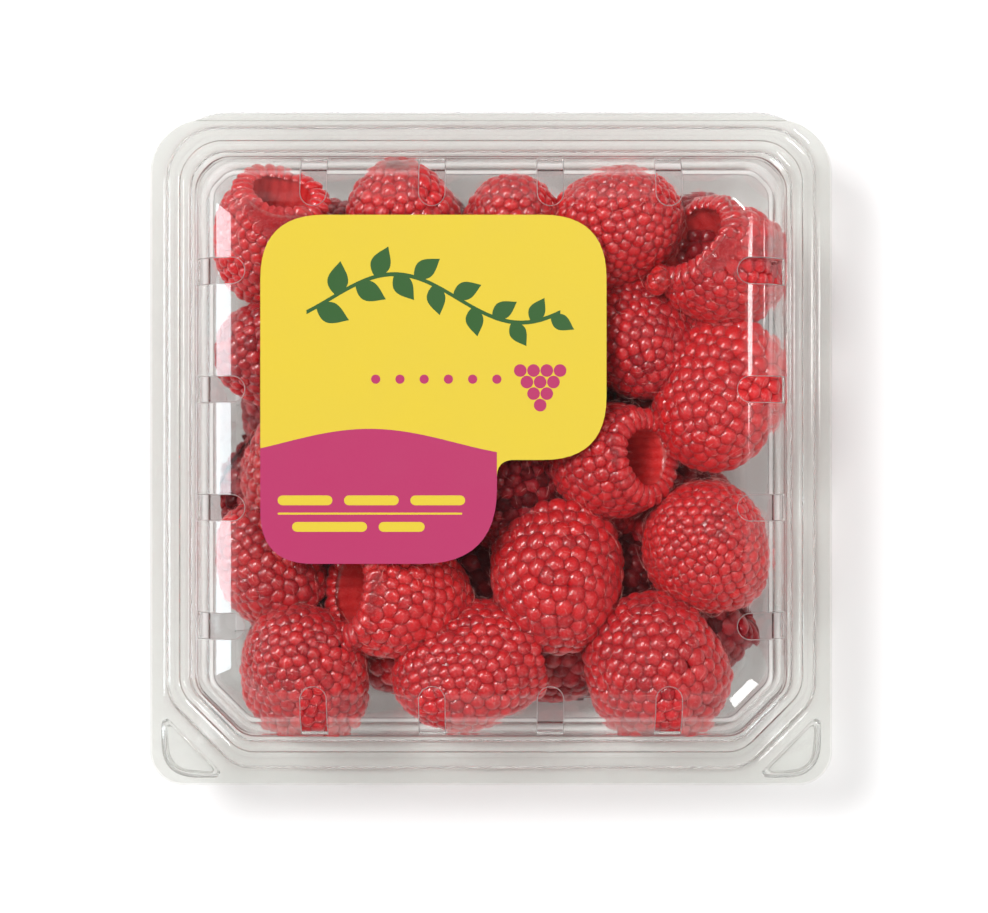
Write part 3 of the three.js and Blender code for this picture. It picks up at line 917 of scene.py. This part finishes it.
# %% Turn a berry and dent it
def tip_frame(heading, pitch, spin):
    across, up = math.radians(heading), math.radians(pitch)
    axis = np.array([math.cos(across) * math.cos(up), math.sin(across) * math.cos(up), math.sin(up)])
    helper = np.array([0.0, 0.0, 1.0]) if abs(axis[2]) < 0.9 else np.array([1.0, 0.0, 0.0])
    first = np.cross(helper, axis)
    first /= np.linalg.norm(first)
    second = np.cross(axis, first)
    c, s = math.cos(spin), math.sin(spin)
    return np.stack([c * first + s * second, -s * first + c * second, axis])


def lumps(angle, z, seed):
    return (0.04 * np.sin(2 * angle + seed) + 0.025 * np.sin(3 * angle + 2.1 * seed + z / 5)
            + 0.03 * np.sin(z / 3.5 + angle + 1.7 * seed))


# %% A place on the cup
def on_cup(walk, angle, walked, radius, height):
    r, z = np.interp(walk, walked, radius), np.interp(walk, walked, height)
    dr = np.interp(walk + 0.3, walked, radius) - np.interp(walk - 0.3, walked, radius)
    dz = np.interp(walk + 0.3, walked, height) - np.interp(walk - 0.3, walked, height)
    lean = np.arctan2(-dr, dz)
    out = np.stack([np.cos(angle), np.sin(angle), np.zeros_like(angle)], 1)
    up = np.array([0.0, 0.0, 1.0])
    normal = np.cos(lean)[:, None] * out + np.sin(lean)[:, None] * up
    along = -np.sin(lean)[:, None] * out + np.cos(lean)[:, None] * up
    around = np.stack([-np.sin(angle), np.cos(angle), np.zeros_like(angle)], 1)
    return out * r[:, None] + z[:, None] * up, normal, along, around, r


# %% [markdown]
# The beads start in even rows, but real ones jostle. So each start is shaken a little, and then the beads
# push each other apart, round after round, where they overlap. A physics simulation could do that too, but
# this is quicker and always ends the same. The long ones round an open lip stay put and hold their row.


# %% Let the beads settle
SETTLING_ROUNDS = 25


def beads_of(berry, rng, bead):
    blunt, seed = rng.uniform(1.8, 2.4), rng.uniform(0, 6)
    cup = cup_path(berry, blunt)
    ribbed = berry["opening"] > 0
    walk, angle, rib = bead_starts(cup, bead, ribbed, rng)
    free = 1 - rib
    nearest = bead * (1.0 if ribbed else 0.3)
    sizes = bead * np.where(free, rng.uniform(0.86, 1.14, len(walk)), RIB_WIDTH)
    walk = walk + rng.normal(0, 0.1 * bead, len(walk)) * free
    angle = angle + rng.normal(0, 0.08, len(walk)) * np.where(free, 1, 0.25)
    for _ in range(SETTLING_ROUNDS):
        centre, normal, along, around, r = on_cup(walk, angle, *cup)
        apart = centre[:, None] - centre[None]
        gap = np.linalg.norm(apart, axis=2) + np.eye(len(walk)) * 99
        want = (sizes[:, None] + sizes[None]) / 2
        push = np.maximum(want - gap, 0) / gap * 0.3
        move = (apart * push[:, :, None]).sum(1) * free[:, None]
        walk = np.where(free, np.clip(walk + (move * along).sum(1), nearest, cup[0][-1]), 0)
        angle = angle + (move * around).sum(1) / np.maximum(r, bead * 0.3)
    centre, normal, along, around, r = on_cup(walk, angle, *cup)
    normal = normal + rng.normal(0, 0.06, normal.shape) * free[:, None]
    normal /= np.linalg.norm(normal, axis=1, keepdims=True)
    centre = centre + normal * rng.normal(0, 0.035 * bead, len(walk))[:, None]
    stretch = np.where(free, 1, RIB_LENGTH / RIB_WIDTH)
    angle = np.arctan2(centre[:, 1], centre[:, 0])
    centre[:, :2] *= (1 + lumps(angle, centre[:, 2], seed))[:, None]
    return centre, normal, sizes, stretch


# %% Domes from beads
def dome_cloud(centres, normals, sizes, stretch, rng, around):
    template, faces = dome_template(around)
    out = centres * np.array([1, 1, 0])
    out /= np.linalg.norm(out, axis=1, keepdims=True) + 1e-9
    across = np.cross(np.array([0.0, 0.0, 1.0]), out)
    along = np.cross(across, normals)
    along /= np.linalg.norm(along, axis=1, keepdims=True)
    across = np.cross(normals, along)
    ribs = stretch > 1
    turn = np.where(ribs, 0, rng.normal(0, 0.45, len(sizes)))[:, None]
    side = np.cos(turn) * across + np.sin(turn) * along
    up = np.cos(turn) * along - np.sin(turn) * across
    aspect = np.where(ribs, stretch, rng.uniform(0.9, 1.25, len(sizes)))
    wide = sizes * 0.66 * np.where(ribs, 1, 1 / np.sqrt(aspect))
    tall = sizes * 0.66 * np.where(ribs, aspect, np.sqrt(aspect))
    high = sizes * rng.uniform(0.5, 0.6, len(sizes))
    base = centres - normals * (high * 0.92)[:, None]
    points = (
        base[:, None, :]
        + template[None, :, 0:1] * (wide[:, None] * side)[:, None, :]
        + template[None, :, 1:2] * (tall[:, None] * up)[:, None, :]
        + template[None, :, 2:3] * (high[:, None] * normals)[:, None, :]
    )
    slope = np.arccos(np.clip(template[:, 2], -1, 1)) / (math.pi / 2)
    return points, faces, slope


# %% [markdown]
# Under the beads lies the cup's own flesh: a body turned round the berry's axis, a little smaller than the
# beads' middles, so that no gap between beads opens into nothing. Where the cup is open, the body runs over
# the lip and down inside, and carries the paler, ridged lining. The other berries get a plain hollow at the
# base, because some turn it to the side of the pack.


# %% The flesh under the beads
def lining_rows(berry, bead):
    half, length, opening = berry["width"] / 2, berry["length"], berry["opening"]
    if not opening:
        bowl = ((0.56, 0.0, 0.2), (0.5, 0.06, 0.3), (0.45, 0.25, 0.5), (0.33, 0.42, 0.8), (0.01, 0.5, 1.0))
        return [(half * share, (t - 0.5) * length, inner) for share, t, inner in bowl]
    lip = half * opening + 0.1 * bead
    rows = [(lip + 0.6, -length / 2 - 0.1, 0.1), (lip + 0.15, -length / 2 - 0.1, 0.2)]
    depth = np.linspace(0.05, 0.66, 16)
    narrow = np.sqrt(np.clip(1 - (depth / 0.665) ** 2.6, 0, 1))
    return rows + [(max(lip * n, 0.1), (t - 0.5) * length, 0.2 + 0.8 * t / 0.66)
                   for n, t in zip(narrow, depth)]


def flesh_body(berry, bead):
    around = berry["turns"] if berry["opening"] else 20
    width, length = berry["width"], berry["length"]
    outside = [(max(width / 2 * float(width_at(t, 2.2)) - bead * 0.52, 0.2), (t - 0.5) * length, 0.0)
               for t in np.linspace(0.03, 0.98, 12)]
    rows = [*outside[::-1], *lining_rows(berry, bead)]
    angle = np.linspace(0, 2 * math.pi, around, endpoint=False)
    points, inner_of, ridge_of = [], [], []
    for k, (r, z, inner) in enumerate(rows):
        ridge = np.abs(np.sin(angle * 10 + 0.5 * math.sin(z) + (k % 2) * 0.15)) ** 0.6
        waist = 0.5 + 0.5 * math.cos(2 * math.pi * z / bead)
        grow = 1 - (0.06 * ridge + 0.02 * waist) * (inner > 0.2)
        points += list(zip(r * grow * np.cos(angle), r * grow * np.sin(angle), np.full(around, z)))
        inner_of += [inner] * around
        ridge_of += list(ridge * (0.7 + 0.3 * waist))
    faces = []
    for row in range(len(rows) - 1):
        faces += band(row * around, (row + 1) * around, around)
    last = (len(rows) - 1) * around
    faces += [tuple(range(around)), tuple(range(last, last + around))[::-1]]
    return np.array(points), faces, np.array(inner_of), np.array(ridge_of)


# %% A whole berry, ready to join with others
def raspberry(berry, rng, bead, around):
    axes = tip_frame(berry["heading"], berry["pitch"], rng.uniform(0, 2 * math.pi))
    centres, normals, sizes, stretch = beads_of(berry, rng, bead)
    domes, dome_faces, slope = dome_cloud(centres, normals, sizes, stretch, rng, around)
    flesh, flesh_faces, inner, ridge = flesh_body(berry, bead)
    bead_ripeness_and_painted_shade = np.clip(berry["tone"] + rng.normal(0, 0.07, len(centres)), 0, 1)
    count = domes.shape[1]
    local = np.concatenate([domes.reshape(-1, 3), flesh])
    points = kept_inside(local @ axes + np.array(berry["at"]))
    faces = [[i + d * count for i in f] for d in range(len(domes)) for f in dome_faces]
    faces = [f if f[0] != f[-1] else f[:-1] for f in faces]
    faces += [[i + len(domes) * count for i in f] for f in flesh_faces]
    shade = {
        "tone": np.concatenate([np.repeat(bead_ripeness_and_painted_shade, count), np.full(len(flesh), berry["tone"])]),
        "slope": np.concatenate([np.tile(slope, len(domes)), np.full(len(flesh), 1.0)]),
        "lining": np.concatenate([np.zeros(len(domes) * count), inner]),
        "ridge": np.concatenate([np.zeros(len(domes) * count), ridge]),
    }
    tips = (centres @ axes + np.array(berry["at"]), normals @ axes)
    return points, faces, shade, tips


# %% [markdown]
# ## The colours of a raspberry
#
# The beads are full of juice, so light goes in and comes out red: that is subsurface scattering. The skin is
# a little matt with a soft bloom at glancing angles, which the sheen gives, and a thin wet coat on top makes
# the small glints. The tops of the beads are painted a little paler, a painted sheen that is partly the real
# bloom, and where beads meet they are painted darker, a painted shade. A value that is partly ripeness and
# partly painted shade takes a berry from nearly black through deep crimson to bright red. The lining of the
# cup is paler and dry, and painted darker deeper inside, a painted shade. Painted pictures could carry all
# this, but the numbers on the points already say where each bead is, so the colours follow the shapes
# exactly.


# %% Raspberry flesh
def raspberry_flesh(name):
    material, tree, shader = new_finish(name)
    tone, slope, lining = named(tree, "tone"), named(tree, "slope"), named(tree, "lining")
    # the ramp runs from nearly black, a painted shade for berries that lie deep, to bright red for ripe ones
    skin = ramp(tree, tone, (
        (0.0, (0.06, 0.0006, 0.002)), (0.25, (0.25, 0.002, 0.008)),
        (0.6, (0.57, 0.005, 0.009)), (1.0, (0.78, 0.01, 0.01))))
    # bead tops painted a little paler and pinker: a painted sheen, partly the berry's real bloom, less on
    # dark berries
    top = mapped(tree, slope, 0.15, 0.6, 0.5, 0.1)
    patches = mapped(tree, noise(tree, 420, 3, 1.5), 0.42, 0.62, 0, 1)
    ripe_and_lit = mapped(tree, tone, 0, 0.5, 0.1, 1)
    soft = maths(tree, "MULTIPLY", maths(tree, "MULTIPLY", top, patches), ripe_and_lit)
    bloom_and_painted_sheen = mixed(tree, soft, skin, (0.62, 0.03, 0.04))
    strands = mapped(tree, noise(tree, 800, 3, 3.5), 0.54, 0.64, 0, 0.5)
    fuzz = mixed(tree, maths(tree, "MULTIPLY", strands, ripe_and_lit), bloom_and_painted_sheen, (0.7, 0.08, 0.08))
    # painted shade: the colour darkens where the beads meet
    painted_crease_shade = mixed(tree, mapped(tree, slope, 0.75, 1.0, 0, 0.15), fuzz, (0.26, 0.002, 0.008))
    dry = mixed(tree, named(tree, "ridge"), (0.6, 0.008, 0.012), (0.8, 0.05, 0.05))
    # painted shade: the lining darkens the deeper a point lies inside the cup
    painted_cup_shade = mixed(tree, mapped(tree, lining, 0.45, 0.9, 0, 1), dry, (0.2, 0.001, 0.005))
    lip = mixed(tree, mapped(tree, lining, 0.2, 0.26, 0, 1), (0.6, 0.14, 0.13), painted_cup_shade)
    lined = mixed(tree, mapped(tree, lining, 0, 0.1, 0, 1), painted_crease_shade, lip)
    link(tree, lined, shader.inputs["Base Color"])
    link(tree, mapped(tree, noise(tree, 1400, 3), 0.3, 0.7, 0.42, 0.62), shader.inputs["Roughness"])
    link(tree, mapped(tree, tone, 0, 0.4, 0.1, 1.0), shader.inputs["Coat Weight"])
    set_sockets(shader, {
        "Subsurface Weight": 0.65, "Subsurface Radius": (1.0, 0.2, 0.18), "Subsurface Scale": 0.0026,
        "Specular IOR Level": 0.06, "Coat Roughness": 0.21,
        "Sheen Weight": 0.12, "Sheen Roughness": 0.4, "Sheen Tint": (1.0, 0.6, 0.64, 1)})
    embossed(tree, shader, noise(tree, 1100, 3, 1.0), 0.6, 0.0004)
    return material


flesh_material = raspberry_flesh("raspberry_flesh")
print(flesh_material.name, "is a tree of", len(flesh_material.node_tree.nodes), "nodes")

# %% [markdown]
# ## The heap
#
# Copies of one berry would be light, but no two raspberries are alike, and each one is pressed by the plastic
# in its own place. So every berry is built by itself. They are joined into a few pieces, one for each kind,
# because nearly fifty objects with some two hundred domes each would be slow to handle.


# %% Join berries into pieces
def berry_piece(name, berries, seed, around):
    rng = np.random.default_rng(seed)
    points, faces, tips = [], [], []
    shades = {"tone": [], "slope": [], "lining": [], "ridge": []}
    start = 0
    for berry in berries:
        p, f, shade, tip = raspberry(berry, rng, berry["bead"], around)
        points.append(p)
        faces += [[i + start for i in face] for face in f]
        start += len(p)
        for key in shades:
            shades[key].append(shade[key])
        tips.append(tip)
    piece = mesh_piece(name, np.concatenate(points), faces, flesh_material, 70)
    for key, values in shades.items():
        attribute = piece.data.attributes.new(key, "FLOAT", "POINT")
        attribute.data.foreach_set("value", np.concatenate(values).astype(np.float32))
    triangles = sum(len(f) - 2 for f in faces)
    print(name, "is", len(berries), "berries of", triangles, "triangles in all")
    return place(piece, "tray", "raspberry", "berries"), tips


# %% [markdown]
# Between the two layers more berries lie in the dark, and only glimpses of them show. Small ones stand for
# them and fill the gaps in the middle of the heap. They are painted nearly black, a painted shade for the
# dark between the berries.


# %% The berries in the gaps
def gap_fillers(per_row=3, pitch=22.8, middle_z=14.0):
    berries = []
    for i in range(per_row**2):
        x = (i % per_row - (per_row - 1) / 2) * pitch
        y = (i // per_row - (per_row - 1) / 2) * pitch
        # a value of 0 paints these berries nearly black, a painted shade for the dark between the layers
        berries.append(dict(at=(x, y, middle_z), width=18.0, length=19.0, opening=0, tone=0.0, bead=3.0,
                            heading=spread(3 * i + 2, 0, 360), pitch=spread(5 * i, 20, 80)))
    return berries


upper, lower = upper_layer(), lower_layer()
cups = [b for b in upper if b["opening"]]
whole = [b for b in upper if not b["opening"]]
_, cup_tips = berry_piece("berries_cupped", cups, 11, DOME_ROUND)
_, back_tips = berry_piece("berries_whole_back", whole[:9], 12, DOME_ROUND)
_, front_tips = berry_piece("berries_whole_front", whole[9:], 13, DOME_ROUND)
berry_piece("berries_beneath", lower, 14, 7)
berry_piece("berries_between", gap_fillers(), 15, 8)

# %% [markdown]
# Each bead was a small flower part once, and most keep a dry thread from it. The threads are thinner than a
# hair of a brush, pale, and curl over the berry. Hair particles could make them, but only meshes leave
# Blender with the pack. So each is a thin three-sided tube that tapers to its end.


# %% The dry threads
THREAD_RADIUS = 0.026
THREAD_STEPS = 4
THREADED_SHARE = 0.7  # of the beads on top keep their thread


def threads(tips, rng, share):
    centres = np.concatenate([t[0] for t in tips])
    normals = np.concatenate([t[1] for t in tips])
    chosen = rng.random(len(centres)) < share
    centres, normals = centres[chosen], normals[chosen]
    count = len(centres)
    away = rng.normal(size=(count, 3))
    away -= (away * normals).sum(1, keepdims=True) * normals
    away /= np.linalg.norm(away, axis=1, keepdims=True)
    side = np.cross(normals, away)
    curl = rng.normal(0, 0.8, count)[:, None]
    length = rng.uniform(0.8, 2.4, count)[:, None]
    lift = rng.uniform(0.15, 0.6, count)[:, None]
    start = centres + normals * 0.25
    rings = []
    for step in range(THREAD_STEPS + 1):
        t = step / THREAD_STEPS
        path = start + length * (t * away + curl * t * t * side + lift * t * (1 - 0.8 * t) * normals)
        thick = THREAD_RADIUS * (1 - 0.7 * t)
        for corner in range(3):
            a = 2 * math.pi * corner / 3
            rings.append(path + thick * (math.cos(a) * side + math.sin(a) * normals))
    points = np.stack(rings, 1)
    faces = [(0, 2, 1), (3 * THREAD_STEPS, 3 * THREAD_STEPS + 1, 3 * THREAD_STEPS + 2)]
    for step in range(THREAD_STEPS):
        faces += band_back(3 * step, 3 * step + 3, 3)
    every = [[i + k * points.shape[1] for i in f] for k in range(count) for f in faces]
    return kept_inside(points.reshape(-1, 3)), every


def thread_colour():
    material, tree, shader = new_finish("dry_threads")
    straw = mixed(tree, noise(tree, 700), (0.85, 0.24, 0.22), (0.98, 0.55, 0.5))
    link(tree, straw, shader.inputs["Base Color"])
    set_sockets(shader, {"Roughness": 0.5})
    return material


tips = [t for group in (cup_tips, back_tips, front_tips) for t in group]
thread_points, thread_faces = threads(tips, np.random.default_rng(21), THREADED_SHARE)
fine = mesh_piece("berry_threads", thread_points, thread_faces, thread_colour())
place(fine, "tray", "raspberry", "berries")
print(len(thread_points) // (3 * (THREAD_STEPS + 1)), "threads")

# %% [markdown]
# ## The label
#
# The label is a thin printed plate that lies on the lid: a yellow field with a pink one below it. A picture
# could carry the print, but its edges would blur close up. Inks lie in flat fields, so each field is a thin
# plate of its own on top of the yellow one, cut to its outline. The print is a plain garland, some dots and a
# few bars, all made from formulas. The back is bare paper.

# %% The label's plate
LABEL_EDGES = dict(left=-40.0, right=20.0, top=40.5, step=-2.0, step_right=1.0, bottom=-20.0)
LABEL_THICKNESS = 0.2
LABEL_LIFT = 0.05
INK = 0.02


def label_outline(inset=0.0, steps=12):
    e = LABEL_EDGES
    corners = (
        (e["left"] + inset, e["top"] - inset, 11.0),
        (e["left"] + inset, e["bottom"] + inset, 9.0),
        (e["step_right"] - inset, e["bottom"] + inset, 13.0),
        (e["step_right"] - inset, e["step"] + inset, 3.0),
        (e["right"] - inset, e["step"] + inset, 11.0),
        (e["right"] - inset, e["top"] - inset, 11.0),
    )
    return [(x, y) for x, y in rounded([(np.array(c[:2]), c[2]) for c in corners], steps)]


def ink(name, red, green, blue):
    material, tree, shader = new_finish(name)
    full, thin = (red, green, blue), tuple(0.95 * c + 0.01 for c in (red, green, blue))
    link(tree, mixed(tree, noise(tree, 120, 4), full, thin), shader.inputs["Base Color"])
    link(tree, mapped(tree, noise(tree, 2500, 2), 0.3, 0.7, 0.38, 0.5), shader.inputs["Roughness"])
    embossed(tree, shader, noise(tree, 1500, 3), 0.15, 0.0001)
    return material


yellow_ink = ink("yellow_ink", 0.66, 0.49, 0.018)
pink_ink = ink("pink_ink", 0.41, 0.012, 0.1)
green_ink = ink("green_ink", 0.014, 0.085, 0.008)
LABEL_LOW = TOP_Z + LABEL_LIFT
LABEL_TOP = LABEL_LOW + LABEL_THICKNESS


def print_plate(name, outlines, layer, material):
    low = LABEL_TOP + (layer - 1) * INK
    parts = [prism(outline, low, low + INK) for outline in outlines]
    return place(mesh_piece(name, *joined(parts), material), "lid", "label_print", "label")


plate = mesh_piece("label_plate", *prism(label_outline(), LABEL_LOW, LABEL_TOP), yellow_ink)
plate.data.materials.append(ink("label_paper", 0.78, 0.77, 0.73))
plate.data.polygons[0].material_index = 1  # the first face is the underside
place(plate, "lid", "label_print", "label")


# %% Outlines to print with
def turned(outline, x, y, angle):
    c, s = math.cos(angle), math.sin(angle)
    return [(x + c * u - s * v, y + s * u + c * v) for u, v in outline]


def disc(x, y, radius, steps=24):
    angle = [2 * math.pi * i / steps for i in range(steps)]
    return [(x + radius * math.cos(a), y + radius * math.sin(a)) for a in angle]


def bar(x, y, length, height, steps=8):
    half = height / 2
    right = [(x + length - half + half * math.sin(a), y + half * math.cos(a))
             for a in np.linspace(math.pi, 0, steps + 1)]
    left = [(x + half - half * math.sin(a), y + half * math.cos(a))
            for a in np.linspace(0, math.pi, steps + 1)]
    return right + left


def leaf(x, y, length, angle, steps=12):
    half = [(t * length, 0.3 * length * math.sin(math.pi * t**0.8) ** 1.1)
            for t in np.linspace(0, 1, steps + 1)]
    return turned([*[(u, -v) for u, v in half], *half[-2:0:-1]], x, y, angle)


# %% The pink field and its bars
def hill(x):
    return 1.0 + 2.4 * math.sin((x + 36) / 9.5)


def pink_field():
    body = [(x, y) for x, y in label_outline(0.0) if y < -3 and x < 1.01]
    ridge = [(x, hill(x)) for x in np.linspace(LABEL_EDGES["step_right"], LABEL_EDGES["left"], 30)]
    return [*body, *ridge]


print_plate("label_pink_field", [pink_field()], 1, pink_ink)
bars = [bar(-37 + 11.5 * i, -9.0, 9.5, 1.7) for i in range(3)]
bars += [bar(-34.5, -13.6, 13, 1.7), bar(-19.5, -13.6, 8, 1.7)]
bars.append(bar(-37, -11.3, 32, 0.35))
print_plate("label_pale_bars", bars, 2, yellow_ink)


# %% The garland and the pink dots
def garland_point(t):
    return -32 + 44 * t, 26 + 4.2 * math.sin(2 * math.pi * t - 0.6)


def garland():
    stem = [garland_point(t) for t in np.linspace(0, 1, 40)]
    shapes = [[*[(x, y + 0.35) for x, y in stem[::-1]], *[(x, y - 0.35) for x, y in stem]]]
    for i in range(13):
        t = (i + 0.5) / 13
        (x, y), (x2, y2) = garland_point(t), garland_point(t + 0.01)
        slope, side = math.atan2(y2 - y, x2 - x), (1 if i % 2 else -1)
        shapes.append(leaf(x, y, 6.2 - 1.6 * t, slope + side * 0.9))
    return shapes


stem_and_leaves = garland()
print_plate("label_leaves", stem_and_leaves[1:], 1, green_ink)
print_plate("label_stem", stem_and_leaves[:1], 2, green_ink)
dots = []
for row, count in enumerate((4, 3, 2, 1)):
    for i in range(count):
        dots.append(disc(8.5 + (i - (count - 1) / 2) * 2.3, 13.5 - row * 2.0, 1.1))
dots += [disc(-20 + 4.2 * i, 12.0, 0.8) for i in range(6)]
print_plate("label_pink_dots", dots, 1, pink_ink)

# %% [markdown]
# ## Light, floor and camera
#
# The floor is pale and the light soft. A lamp does two jobs: it lights what is dull, and it shows as a mirror
# image in what is glossy. Clear plastic shows every lamp twice over, so the jobs are split here. Soft lamps
# light but have no mirror image, and the other lamps are only mirror images: a tall one at the left whitens
# the left shoulder of the lid, and narrow ones draw the bright lines at the right. One more glints on the
# wet beads of the fruit alone, through light linking. The sky has a dark card round the camera, so that the
# lid's flat top mirrors nothing and the fruit under it keeps its colour.

# %% The floor
FLOOR_HALF = 2.0  # metres
floor_corners = [(x * FLOOR_HALF, y * FLOOR_HALF, 0) for x, y in ((-1, -1), (1, -1), (1, 1), (-1, 1))]
floor_mesh = bpy.data.meshes.new("floor")
floor_mesh.from_pydata(floor_corners, [], [(0, 1, 2, 3)])
floor = bpy.data.objects.new("floor", floor_mesh)
bpy.context.scene.collection.objects.link(floor)
floor_material, _, floor_shader = new_finish("pale_floor")
set_sockets(floor_shader, {"Base Color": (0.9, 0.9, 0.9, 1), "Roughness": 0.8})
floor_mesh.materials.append(floor_material)
print("the floor is", 2 * FLOOR_HALF, "m wide")


# %% A lamp that looks at the pack
def lamp(name, at, size, power, soft=False):
    light = bpy.data.lights.new(name, "AREA")
    light.shape, light.size, light.size_y, light.energy = "RECTANGLE", *size, power
    lamp_object = bpy.data.objects.new(name, light)
    lamp_object.location = at
    lamp_object.rotation_euler = (-Vector(at)).to_track_quat("-Z", "Y").to_euler()
    lamp_object.visible_diffuse = soft
    lamp_object.visible_glossy = not soft
    lamp_object.visible_transmission = not soft
    bpy.context.scene.collection.objects.link(lamp_object)
    return lamp_object


# %% The sky and its card
SKY_LOW, SKY_HIGH, CARD = (0.35, 0.35, 0.35), (0.6, 0.6, 0.6), (0.03, 0.03, 0.03)


def sky_light():
    sky = bpy.data.worlds.new("sky")
    sky.use_nodes = True
    tree = sky.node_tree
    where = tree.nodes.new("ShaderNodeTexCoord")
    split = tree.nodes.new("ShaderNodeSeparateXYZ")
    link(tree, where.outputs["Generated"], split.inputs[0])
    ceiling = mapped(tree, split.outputs["Z"], 0.66, 0.8, 0, 1)
    room = mixed(tree, ceiling, SKY_LOW, SKY_HIGH)
    card = mapped(tree, off_middle(tree, where.outputs["Generated"]), 0.068, 0.076, 1, 0)
    overhead = maths(tree, "MULTIPLY", card, mapped(tree, split.outputs["Z"], 0.5, 0.6, 0, 1))
    link(tree, mixed(tree, overhead, room, CARD), tree.nodes["Background"].inputs["Color"])
    bpy.context.scene.world = sky


# %% The lamps
ABOVE, SOFT, SIDE, LEFT, RIGHT, GLINT = 12.5, 5.6, 1.8, 2.9, 1.3, 16.0  # watts
lamp("lamp_above", (-0.44, 0.3, 1.3), (0.34, 0.34), ABOVE, soft=True)
lamp("lamp_soft", (0.1, -0.05, 1.4), (1.6, 1.6), SOFT, soft=True)
window = lamp("lamp_left", (-0.76, 0.0, 0.42), (0.24, 0.5), LEFT)
window.data.color = (0.84, 0.94, 1.0)
lamp("lamp_right", (0.78, 0.07, 1.0), (0.09, 0.5), RIGHT)
lamp("lamp_right_low", (0.8, 0.07, 0.3), (0.05, 0.03), 0.07 * RIGHT)
lamp("lamp_corner", (0.46, -0.46, 0.46), (0.12, 0.12), 0.35 * RIGHT)
lamp("lamp_spark", (0.30, 0.31, 1.2), (0.09, 0.11), 1.3 * RIGHT)
lamp("lamp_side", (0.9, 0.0, 0.6), (0.5, 0.5), SIDE, soft=True)
sky_light()
bpy.context.scene.view_settings.view_transform = "Standard"
print(len(bpy.data.lights), "lamps round the pack")

# %% The glints on the fruit
# no mirror ray can find this lamp, so it lights the fruit and draws no image of itself in the lid
glint = lamp("lamp_glint", (-0.45, 0.45, 1.0), (0.75, 0.18), GLINT)
glint.data.cycles.use_multiple_importance_sampling = False
only_fruit = bpy.data.collections.new("only_fruit")
for fruit in [p for p in bpy.context.scene.objects if p.name.startswith("berr")]:
    only_fruit.objects.link(fruit)
glint.light_linking.receiver_collection = only_fruit

# %% The camera
DISTANCE = 0.7
FRAME_WIDTH = 0.1739
camera_data = bpy.data.cameras.new("camera")
camera_data.lens = 36 * DISTANCE / FRAME_WIDTH
camera = bpy.data.objects.new("camera", camera_data)
camera.location = (0.0005, -0.0014, RIM_Z * MM + DISTANCE)
bpy.context.scene.collection.objects.link(camera)
bpy.context.scene.camera = camera
print("the lens is", round(camera_data.lens, 1), "mm")
